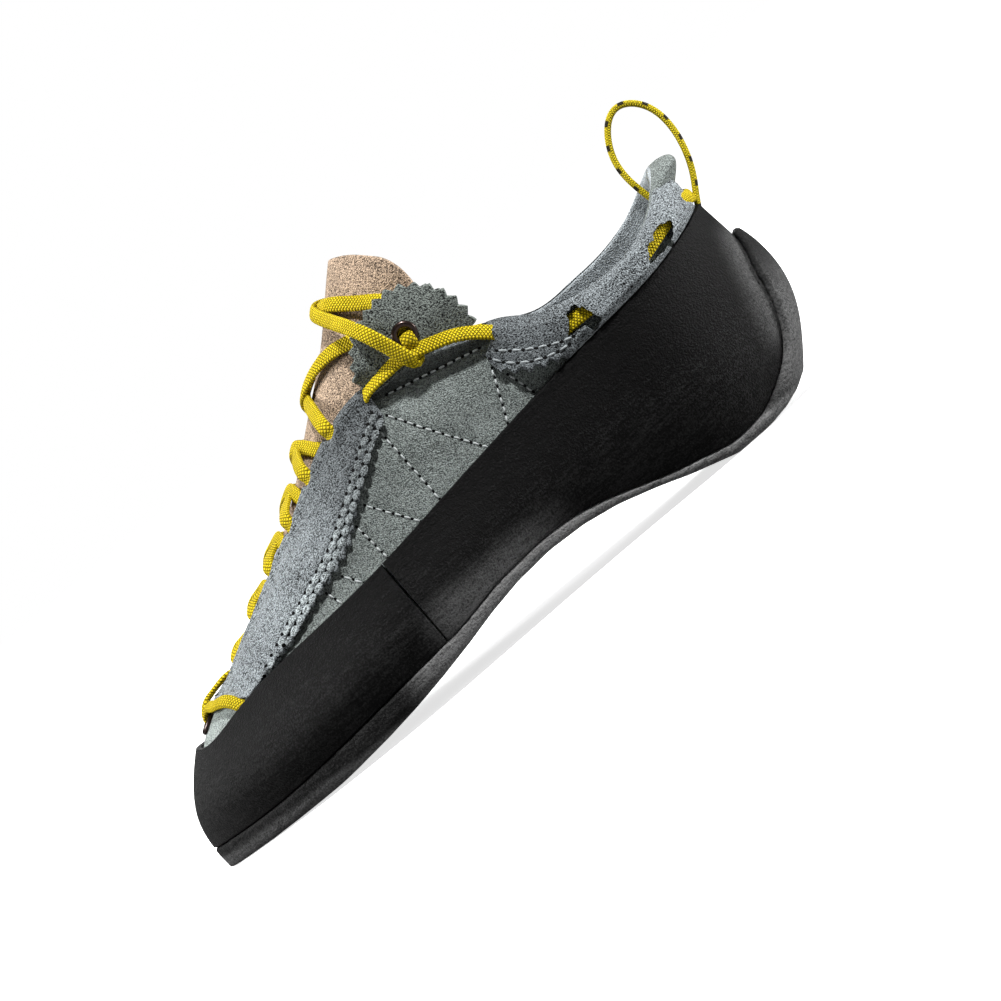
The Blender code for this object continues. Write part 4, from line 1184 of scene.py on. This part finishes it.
# The place on the outline, counted in its points, where the teeth end.
WING_TEETH_END = 12.4
WING_POINTS = 300
WING_INSET = 0.6
WING_STAND = GAP + OVERLAY_WALL + 1.6
WING_RISE, WING_FOLD, WING_TUCK = 2.6, 0.8, 2.8
WING_CURL = 1.1
WING_ROUND = 0.6
WING_EYELET = (145.4, 92.8)
EYELET_HOLE = 2.2
EYELET_FLANGE = 4.2
EYELET_TUBE = 0.45
EYELET_ROOM = 0.15
EYELET_LIP = 0.25
EYELET_SHOULDER, EYELET_CROWN = 0.15, 0.85


def wing_y(x, z, side):
    """How far out the wing's outer face is at (x, z) of the side view."""
    t, h = on_side(x, z, side)
    rise = ramp(z, 78, 94)
    fold = ramp(z, 98, 108)
    tuck = (1 - ramp(x, 123.5, 132.5)) * (1 - ramp(z, 88, 94))
    away = WING_STAND + WING_RISE * rise - WING_FOLD * fold - WING_TUCK * tuck
    return wall(t, h)[..., 1] + side * away


def wing_point(x, z, side, away):
    """A point off the wing's outer face, and the way out there."""
    x, z = np.broadcast_arrays(np.asarray(x, float), np.asarray(z, float))
    half = 0.5
    by_x = wing_y(x + half, z, side) - wing_y(x - half, z, side)
    by_z = wing_y(x, z + half, side) - wing_y(x, z - half, side)
    out = unit(np.stack([-by_x, np.ones(x.shape), -by_z], -1)) * side
    here = np.stack([x, wing_y(x, z, side), z], -1)
    return here + out * np.asarray(away)[..., None], out


def wing_edge():
    """The pinked outline in side view."""
    curve = Curve([(x, 0, z) for x, z in WING_OUTLINE], closed=True)
    places = np.linspace(0, len(WING_OUTLINE), 1601)
    run = run_lengths(curve(places), 0)
    at = np.interp(np.linspace(0, run[-1], WING_POINTS, endpoint=False), run, places)
    length = np.interp(at, places, run)
    way = curve(at + 0.03) - curve(at - 0.03)
    out = unit(np.stack([-way[:, 2], np.zeros(len(at)), way[:, 0]], -1))
    teeth = np.where(at < WING_TEETH_END, PINK_DEEP - pinked(length), 0.0)
    return (curve(at) + out * (teeth - WING_INSET)[:, None])[:, [0, 2]]


def wing(name, side):
    centre = np.array(WING_EYELET)
    edge = wing_edge()
    hole = centre + unit(edge - centre) * (EYELET_HOLE + EYELET_TUBE + EYELET_ROOM)
    share = crowded(0, 1, 46)
    x, z = np.moveaxis(mixed(hole[:, None], edge[:, None], share[:, None]), -1, 0)
    curl = WING_CURL * np.sin(x / 5.4 + 0.8) * ramp(z, 92, 104)
    base = np.stack([x, wing_y(x, z, side) + side * curl, z], -1)
    out = grid_normals(base, ring=True)
    out = out * np.sign(out[..., 1:2]) * side
    return rounded_sheet(name, base, out, -OVERLAY_WALL, 0.0, (WING_SUEDE,), WING_ROUND, ring=True)


# Eyelets: flanged metal rings.
TOE_EYELET = (0.12, 2.72)


def turns(count):
    return np.linspace(0, 2 * pi, count, endpoint=False)


def eyelet(name, middle, out, deep):
    out = Vector(out).normalized()
    across = out.orthogonal().normalized()
    other = out.cross(across)
    tube = EYELET_HOLE + EYELET_TUBE
    rim = (EYELET_HOLE + EYELET_FLANGE) / 2
    half = (EYELET_FLANGE - EYELET_HOLE) / 2
    arc = np.linspace(0.35, pi, 12)
    profile = [(EYELET_HOLE, -deep), (EYELET_HOLE, EYELET_LIP)]
    profile += [(rim - half * cos(a), EYELET_SHOULDER + EYELET_CROWN * sin(a)) for a in arc]
    profile += [(EYELET_FLANGE, -EYELET_LIP), (tube, -EYELET_LIP), (tube, -deep)]
    rings = []
    for turn in turns(48):
        spoke = np.array(across * cos(turn) + other * sin(turn))
        rings.append([np.array(middle) + spoke * r + np.array(out) * a for r, a in profile])
    rings = np.array(rings)
    index = np.arange(rings.shape[0] * rings.shape[1]).reshape(rings.shape[:2])
    faces = grid_faces(np.concatenate([index, index[:, :1]], 1), True)
    return make(name, rings.reshape(-1, 3), faces, (METAL,), sharp=40)


# Threads: arched stitches and needle holes where the side view puts them, on the pieces under them.
Thread = namedtuple("Thread", "finish wide reach tall drop")
RAY_START = 90.0
LEAST_OUT = 5.0
STITCH_SINK = 0.12
# Rings of a needle hole's lens: share of its size, and mm out of the pit.
HOLE_LENS = ((1.0, -0.05), (0.9, 0.2), (0.45, 0.26))


def tree_of(pieces):
    points, faces = [], []
    for piece in pieces:
        count = len(points)
        points += [vertex.co.copy() for vertex in piece.data.vertices]
        faces += [[count + k for k in face.vertices] for face in piece.data.polygons]
    return BVHTree.FromPolygons(points, faces)


def landed(tree, view, side):
    """Where side-view points land on one side of the pieces, and the way out; a miss is left out."""
    spots, outs = [], []
    for x, z in view:
        start = Vector(placed((x, side * RAY_START, z)))
        spot, out, _, _ = tree.ray_cast(start, Vector((0, -side, 0)))
        if spot is None or spot.y * side < LEAST_OUT * MM:
            continue
        out = out if out.y * side > 0 else -out
        spots.append(np.array(spot) / MM + (MIDDLE_X, MIDDLE_Y, 0))
        outs.append(np.array(out))
    return np.array(spots), np.array(outs)


def stitch_form(one, two, out, thread):
    """Rings of one arched stitch, or one puff of suede, between two holes."""
    way = two - one
    side = unit(np.cross(way, out))
    side *= -np.sign(side[2])
    rings = []
    for share in np.linspace(0.5 - thread.reach, 0.5 + thread.reach, 9):
        swell = thread.wide / 2 * np.sqrt(max(1 - abs((share - 0.5) / thread.reach) ** 3, 0.05))
        arch = 0.5 * thread.tall * sin(pi * share) - STITCH_SINK
        middle = one + way * share + out * arch + side * thread.drop
        rings.append([middle + swell * (side * cos(a) + out * sin(a) * thread.tall) for a in turns(10)])
    return np.array(rings)


def hole_form(spot, out, way, size, across):
    """A small black lens in the pit of a needle hole: painted shade for the hole."""
    side = unit(np.cross(way, out))
    way = unit(np.cross(out, side))
    rings = []
    for share, rise in HOLE_LENS:
        middle, radius = spot + out * rise, size * share
        rings.append([middle + radius * (way * cos(a) + side * sin(a) * across) for a in turns(10)])
    return np.array(rings)


def joined(name, forms, finish):
    points, faces, count = [], [], 0
    for rings in forms:
        more_points, more_faces = loft_mesh(rings)
        points.append(more_points)
        faces += [[count + k for k in face] for face in more_faces]
        count += len(more_points)
    return make(name, np.concatenate(points), faces, (finish,))


def sew(name, pieces, seams, hole, across, thread):
    """The needle holes of some seams on both sides, and the thread or the puffs between them."""
    threads, holes = [], []
    tree = tree_of(pieces)
    for side in (OUTER, INNER):
        for rows in seams.rows:
            spots, outs = landed(tree, stepped(rows, seams.pitch), side)
            if len(spots) < 2:
                continue
            ways = np.gradient(spots, axis=0)
            holes += [hole_form(*place, hole, across) for place in zip(spots, outs, ways)]
            for one, two, out in zip(spots, spots[1:], outs):
                if np.abs(two - one).max() < 2 * seams.pitch:
                    threads.append(stitch_form(one, two, out, thread))
    dress(joined(name + "_needle_holes", holes, HOLE_SHADE), None)
    dress(joined(name + "_threads", threads, thread.finish), None)


# Laces: flat woven tubes; each row gives a point and the way the flat side faces.
LACE_WIDE = 4.8
LACE_THICK = 1.9
LACE_STEP = 0.7
LACE_RING = 16
LACE_SQUARE = 0.75
TOE_LACE_WIDE = 4.2


def ribbon(rows, wide=LACE_WIDE, thick=LACE_THICK):
    """Rings of a flat cord along a smooth path, with the run of each point on it."""
    path = Curve([point for point, _ in rows])
    facing_way = Curve([face for _, face in rows])
    places = np.linspace(0, len(rows) - 1, 40 * len(rows))
    length = run_lengths(path(places), 0)
    at = np.interp(np.arange(0, length[-1], LACE_STEP), length, places)
    end = len(rows) - 1
    way = unit(path(np.minimum(at + SLOPE_STEP, end)) - path(np.maximum(at - SLOPE_STEP, 0)))
    face = facing_way(at)
    face = unit(face - way * np.sum(face * way, axis=1, keepdims=True))
    side = np.cross(way, face)
    turn = turns(LACE_RING)
    flat = np.sign(np.cos(turn)) * np.abs(np.cos(turn)) ** LACE_SQUARE * wide / 2
    rise = np.sin(turn) * thick / 2
    rings = path(at)[:, None] + side[:, None] * flat[:, None] + face[:, None] * rise[:, None]
    run = np.zeros(rings.shape)
    run[..., 0] = np.arange(len(at))[:, None] * LACE_STEP
    run[..., 1] = flat + rise * 0.4
    run[..., 2] = rise
    return rings, run


def lace_piece(name, ribbons, finish):
    made = joined(name, [rings for rings, _ in ribbons], finish)
    run = made.data.attributes.new("run", "FLOAT_VECTOR", "POINT")
    run.data.foreach_set("vector", np.concatenate([r.reshape(-1, 3) for _, r in ribbons]).ravel())
    return made


def wall_row(t, h, away):
    """A row away mm off the wall, the flat side facing out."""
    return off_wall(t, h, away), wall_normal(t, h)


def edge_row(x, side, down, away):
    """A row near the throat edge: down mm below it and away mm off the wall."""
    t = rib_at(x, TOP_EDGE, side)
    return wall_row(t, TOP_EDGE - down / top_mm(t), away)


def ridge_place(x, w):
    """The ridge place whose section has length x at share w across."""
    places = np.linspace(0, TONGUE_END, 161)
    return float(np.interp(x, tongue_at(places, w)[:, 0], places))


# Each turn of the lacing: its notch, the length where it crosses the ridge, its lift there, and its bulge
# on the way.
Turn = namedtuple("Turn", "notch ridge_x lift bulge")
TURNS = (
    Turn(43.0, 49.5, 0.4, 0.8),
    Turn(56.0, 62.5, 0.4, 0.8),
    Turn(69.0, 75.5, 0.5, 0.8),
    Turn(82.5, 88.0, 0.6, 0.9),
    Turn(96.0, 98.5, 1.4, 1.3),
    Turn(109.5, 111.5, 1.5, 1.3),
)
OVERLAP_LIFT = 1.2
FLANK_TURN = 0.6
INSIDE_OFF = -UPPER_WALL - 0.9
# Out of a notch, from under the facing to over its lip: length past the notch, mm down and mm off.
NOTCH_ROWS = ((0.2, 6.5, 0.9), (0.2, 1.9, 1.5), (0.3, 0.1, 3.0))
# In under the other facing: where the strand leaves the tongue, then length past the next notch and mm down.
DIVE_FROM, DIVE_ACROSS, DIVE_LIFT = -4.6, 0.62, 1.5
DIVE_ROWS = ((-2.4, 2.2), (-0.8, 6.5))
# The last strand's way over the ridge and behind the wing: ridge place, share across, mm off the tongue.
LAST_STRAND = ((6.0, -0.3, 1.9), (6.45, -0.62, 1.7), (6.55, -0.85, 1.5), (6.2, -1.0, 1.4))


def lifted_between(one, two, share, rise):
    """A row between two others, lifted by rise mm."""
    point = mixed(one[0], two[0], share)
    face = unit(one[1] + two[1])
    return point + face * rise, face


def flank(row, side):
    """A row of the lace with its flat side turned towards one side of the shoe."""
    return row[0], unit(row[1] + (0, FLANK_TURN * side, 0))


def strand(turn, following, side, over):
    """Out of a notch, over the tongue's ridge, and in under the other facing before its next notch."""
    under, notch, lip = (edge_row(turn.notch + past, side, down, away) for past, down, away in NOTCH_ROWS)
    crest = off_tongue(ridge_place(turn.ridge_x, 0), 0.0, turn.lift + OVERLAP_LIFT * over)
    half = lifted_between(lip, crest, 0.5, turn.bulge)
    rows = [under, notch, flank(lip, side), flank(half, side), crest]
    if following:
        across = -DIVE_ACROSS * side
        low = off_tongue(ridge_place(following.notch + DIVE_FROM, across), across, DIVE_LIFT)
        rows += [lifted_between(crest, low, 0.52, 0.9), low]
        rows += [edge_row(following.notch + past, -side, down, INSIDE_OFF) for past, down in DIVE_ROWS]
    else:
        rows += [off_tongue(s, w * side, away) for s, w, away in LAST_STRAND]
    return rows


# The toe strands: rib, line and mm off the wall; the inner one ends with length, mm down and mm off.
TOE_STRANDS = {
    OUTER: (
        (0.3, 3.22, 2.4),
        (0.75, 3.18, 2.1),
        (1.12, 2.95, 1.8),
        (1.42, 2.52, 1.6),
        (1.62, 2.12, 0.8),
        (1.75, 1.9, -0.5),
    ),
    INNER: ((-0.02, 3.3, 3.3), (-0.25, 3.62, 3.4)),
}
TOE_INNER_END = ((36.5, 0.4, 2.6), (39.0, 4.0, 0.9), (41.0, 7.0, 0.2))


def toe_strand(side):
    """The outer strand runs down the facing's front, the inner one up to its edge."""
    t, h = TOE_EYELET
    path = [(t, h, -2.0), (t, h + 0.08, 1.2), *TOE_STRANDS[side]]
    rows = [wall_row(*place) for place in path]
    if side == INNER:
        rows += [edge_row(x, side, down, away) for x, down, away in TOE_INNER_END]
    return rows


def crossing_lace(first_side):
    """One half of the lace: from the toe eyelet, side to side, up to the top notch."""
    ribbons = [ribbon(toe_strand(first_side), TOE_LACE_WIDE)]
    side = first_side
    for number, turn in enumerate(TURNS):
        following = TURNS[number + 1] if number + 1 < len(TURNS) else None
        over = float((number + (first_side > 0)) % 2)
        ribbons.append(ribbon(strand(turn, following, side, over)))
        side = -side
    return ribbons


# The ankle lace: length, line and mm off under the facing, length, height and mm off over the wing, and
# length and line along the collar.
ANKLE_START = ((117.5, 3.7, -0.8), (121.6, 3.82, -0.2))
ANKLE_OVER_WING = (
    (125.6, 86.4, 0.6),
    (131.4, 87.4, 0.9),
    (136.2, 88.2, 1.2),
    (141.5, 88.1, 1.5),
    (150.0, 85.7, 1.2),
    (158.5, 82.2, 1.1),
)
ANKLE_RUN = (
    (168.0, 3.72),
    (177.0, 3.08),
    (190.0, 3.1),
    (205.0, 3.0),
    (222.0, 3.05),
    (231.0, 2.8),
    (235.0, 2.62),
)
ANKLE_DROP = {OUTER: 0.0, INNER: 2.0}
ANKLE_DROP_FROM = (141, 150)
ANKLE_TIP = (0, 0, 0.8)
ANKLE_BACK = 2.3
LACE_OFF = GAP + LACE_THICK / 2 + 0.1
ANKLE_OFF, ANKLE_BACK_OFF = LACE_OFF + 0.5, LACE_OFF + 0.8


def ankle_rows(side):
    rows = [wall_row(rib_at(x, TOP_EDGE, side), h, away) for x, h, away in ANKLE_START]
    for x, z, away in ANKLE_OVER_WING:
        spot, out = wing_point(x, z - ANKLE_DROP[side] * ramp(x, *ANKLE_DROP_FROM), side, away)
        rows.append((spot, unit(out + ANKLE_TIP)))
    rows += [wall_row(rib_at(x, SHOULDER, side), h, ANKLE_OFF) for x, h in ANKLE_RUN]
    return rows


def ankle_lace():
    back = wall_row(HEEL, ANKLE_BACK, ANKLE_BACK_OFF)
    rows = [*ankle_rows(OUTER), back, *reversed(ankle_rows(INNER))]
    return lace_piece("ankle_lace", [ribbon(rows)], LACE)


# The top laces: length, height and mm off a wing; ridge place, share across, mm off the tongue and the
# extra where one lies over the other; and behind the far wing.
HOOK_ON_WING = (
    (145.4, 93.0, -2.4),
    (145.4, 92.0, 0.9),
    (145.2, 90.2, 1.4),
    (144.4, 86.6, 0.4),
    (143.2, 84.4, 1.8),
    (142.2, 86.8, 3.7),
    (139.8, 92.4, 3.3),
    (136.0, 101.0, 2.2),
)
HOOK_SHOULDER_X, HOOK_SHOULDER_ACROSS, HOOK_SHOULDER_LIFT = 131.6, 0.32, 2.2
HOOK_OVER_RIDGE = ((6.9, 0.0, 1.6, 1.9), (7.06, -0.3, 1.7, 0.0), (7.16, -0.62, 1.6, 0.0))
HOOK_BEHIND_WING = ((147.0, 103.5, -4.0), (146.4, 97.0, -3.2), (*WING_EYELET, -1.6))


def hook_rows(side, over):
    """Out of a wing's eyelet, round the ankle lace, over the ridge and behind the other wing."""
    across = HOOK_SHOULDER_ACROSS * side
    shoulder = ridge_place(HOOK_SHOULDER_X, across)
    rows = [wing_point(x, z, side, away) for x, z, away in HOOK_ON_WING]
    rows.append(off_tongue(shoulder, across, HOOK_SHOULDER_LIFT + OVERLAP_LIFT * over))
    rows += [off_tongue(s, w * side, away + extra * over) for s, w, away, extra in HOOK_OVER_RIDGE]
    rows += [wing_point(x, z, -side, away) for x, z, away in HOOK_BEHIND_WING]
    return rows


def top_lace(name, side, over):
    """A top lace, the points that it follows and its length, both in metres."""
    rings, run = ribbon(hook_rows(side, over))
    path = rings.mean(axis=1)
    made = lace_piece(name, [(rings, run)], LACE)
    length = float(run_lengths(path, 0)[-1] * MM)
    return made, placed(path), length


# The pull loop in side view, from the heel's inside round to its outside.
LOOP = (
    (236.4, 66.5), (233.4, 69.6), (230.9, 74.6), (229.6, 79.6),
    (228.8, 85.0), (229.2, 91.4), (231.7, 97.6), (235.9, 102.4),
    (240.3, 103.8), (244.9, 101.6), (248.3, 96.4), (249.4, 90.0),
    (248.6, 82.6), (245.8, 74.4), (242.2, 68.2), (239.3, 63.2),
)
LOOP_MIDDLE = np.array([238.5, 0.0, 88.0])
LOOP_WIDE, LOOP_THICK = 2.5, 2.1


def pull_loop():
    points = [np.array([x, 0.0, z]) for x, z in LOOP]
    rows = [(point, point - LOOP_MIDDLE) for point in points]
    return lace_piece("heel_pull_loop", [ribbon(rows, LOOP_WIDE, LOOP_THICK)], LOOP_CORD)


# Every piece, on the one body, in place of its solid.
def dress(piece, node):
    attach(piece, "root")
    if node:
        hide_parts(node)
    return piece


upper = dress(upper_wall(), "upper")
dress(rand("heel_rand_rubber", False), "heel_rand")
dress(rand("toe_rand_rubber", True), "toe_rand")
dress(outsole(), "outsole")
dress(insole(), "insole")
dress(tongue(), "tongue")
facings, cuffs = [], []
for word, side in (("lateral", OUTER), ("medial", INNER)):
    facings.append(dress(facing("facing_" + word, side), "eyestay_" + word))
    cuffs.append(dress(cuff("collar_cuff_" + word, side), "cuff_" + word))
    dress(wing("ankle_wing_" + word, side), "wing_" + word)
    middle, out = wing_point(*WING_EYELET, side, GAP * 0.3)
    dress(eyelet("wing_ring_" + word, middle, out, OVERLAY_WALL + GAP), "wing_eyelet_" + word)
toe_out = wall_normal(*TOE_EYELET)
dress(eyelet("toe_ring", off_wall(*TOE_EYELET, 0.1), toe_out, UPPER_WALL + GAP), "toe_eyelet")

puffs = Thread(PUFF_SUEDE, wide=2.7, reach=0.48, tall=0.36, drop=1.2)
cuff_thread = Thread(GREY_THREAD, wide=0.7, reach=0.32, tall=1.0, drop=0.0)
quilt_thread = Thread(WHITE_THREAD, wide=0.58, reach=0.35, tall=1.0, drop=0.0)
sew("facing", facings, FACING_SEAMS, hole=0.68, across=0.9, thread=puffs)
sew("cuff", cuffs, CUFF_SEAMS, hole=0.75, across=0.6, thread=cuff_thread)
sew("quilting", [upper], QUILT_SEAMS, hole=0.58, across=0.8, thread=quilt_thread)

crossings = lace_piece("lacing", crossing_lace(OUTER) + crossing_lace(INNER), LACE)
dress(crossings, "lace_crossings")
dress(ankle_lace(), "lace_ankle")
for word, side, over in (("lateral", OUTER, 1), ("medial", INNER, 0)):
    piece, path, length = top_lace("top_lace_" + word, side, over)
    dress(piece, "lace_top_" + word)
dress(pull_loop(), "pull_loop")


# Stage, light and camera: the photograph's side view, rolled by its tilt.
FLOOR_HALF = 8000.0
FLOOR_DROP = 0.2
ROOM_LIGHT = 0.05
Lamp = namedtuple("Lamp", "name where aim size power")
SHOE_MIDDLE = (0.0, 0.0, 0.05)
LAMPS = (
    Lamp("key", (0.5, -0.62, 1.38), SHOE_MIDDLE, 0.12, 36),
    Lamp("toe side", (-1.2, 0.1, 0.95), SHOE_MIDDLE, 0.7, 30),
    Lamp("heel rim", (1.3, 0.05, 0.1), (0.1, 0, 0.03), 0.6, 30),
    Lamp("far side", (-0.1, 1.4, 0.9), SHOE_MIDDLE, 1.2, 9),
)
TILT = radians(40)
ELEVATION = radians(3)
AIM = (135.3, -15.0, 35.0)
AWAY = 1600.0
FRAME_WIDE = 305.3
SENSOR = 36.0


def white_floor():
    """A white sheet in view; the light it throws back is a grey one's, so the near side keeps its shade."""
    corners = ((-1, -1), (1, -1), (1, 1), (-1, 1))
    points = [(x * FLOOR_HALF, y * FLOOR_HALF, -FLOOR_DROP) for x, y in corners]
    floor = make("floor", points, [(0, 1, 2, 3)], (), closed=False)
    finish = Finish("white floor", roughness=0.9, specular_ior_level=0.0, emission_strength=1.0)
    seen = finish.node("ShaderNodeLightPath", {}, {}, "Is Camera Ray")
    away = finish.node("ShaderNodeVectorMath", {"operation": "LENGTH"}, {0: finish.place}, "Value")
    finish.put(base_color=finish.blend(seen, grey(0.2), grey(0.9)))
    glow = finish.blend(away.between(0.15, 0.9), grey(0.74), grey(1.0))
    finish.put(emission_color=finish.blend(seen, grey(0.0), glow))
    floor.data.materials.append(finish.material)


def hang(lamp):
    data = bpy.data.lights.new(lamp.name, "AREA")
    data.shape = "DISK"
    data.size = lamp.size
    data.energy = lamp.power
    made = bpy.data.objects.new(lamp.name, data)
    made.location = lamp.where
    made.rotation_euler = (Vector(lamp.aim) - Vector(lamp.where)).to_track_quat("-Z", "Y").to_euler()
    bpy.context.scene.collection.objects.link(made)


def pale_world():
    """A room that gives little light and is seen as white."""
    world = bpy.data.worlds.new("pale room")
    world.use_nodes = True
    nodes, links = world.node_tree.nodes, world.node_tree.links
    seen = nodes.new("ShaderNodeLightPath")
    either = nodes.new("ShaderNodeMixShader")
    links.new(seen.outputs["Is Camera Ray"], either.inputs[0])
    backs = nodes["Background"], nodes.new("ShaderNodeBackground")
    for back, strength, place in zip(backs, (ROOM_LIGHT, 1.0), (1, 2)):
        back.inputs["Color"].default_value = grey(1.0)
        back.inputs["Strength"].default_value = strength
        links.new(back.outputs[0], either.inputs[place])
    links.new(either.outputs[0], nodes["World Output"].inputs["Surface"])
    bpy.context.scene.world = world


def photo_camera():
    data = bpy.data.cameras.new("photo camera")
    data.sensor_width = SENSOR
    data.lens = SENSOR * AWAY / FRAME_WIDE
    camera = bpy.data.objects.new("photo camera", data)
    back = Vector((0, -cos(ELEVATION), sin(ELEVATION)))
    level = Vector((1, 0, 0))
    up = Vector((0, sin(ELEVATION), cos(ELEVATION)))
    right = level * cos(TILT) - up * sin(TILT)
    over = level * sin(TILT) + up * cos(TILT)
    spot = Vector(placed(AIM)) + back * AWAY * MM
    turn = Matrix((right, over, back)).transposed().to_4x4()
    camera.matrix_world = Matrix.Translation(spot) @ turn
    bpy.context.scene.collection.objects.link(camera)
    bpy.context.scene.camera = camera


white_floor()
pale_world()
photo_camera()
bpy.context.scene.view_settings.view_transform = "Standard"
for lamp in LAMPS:
    hang(lamp)
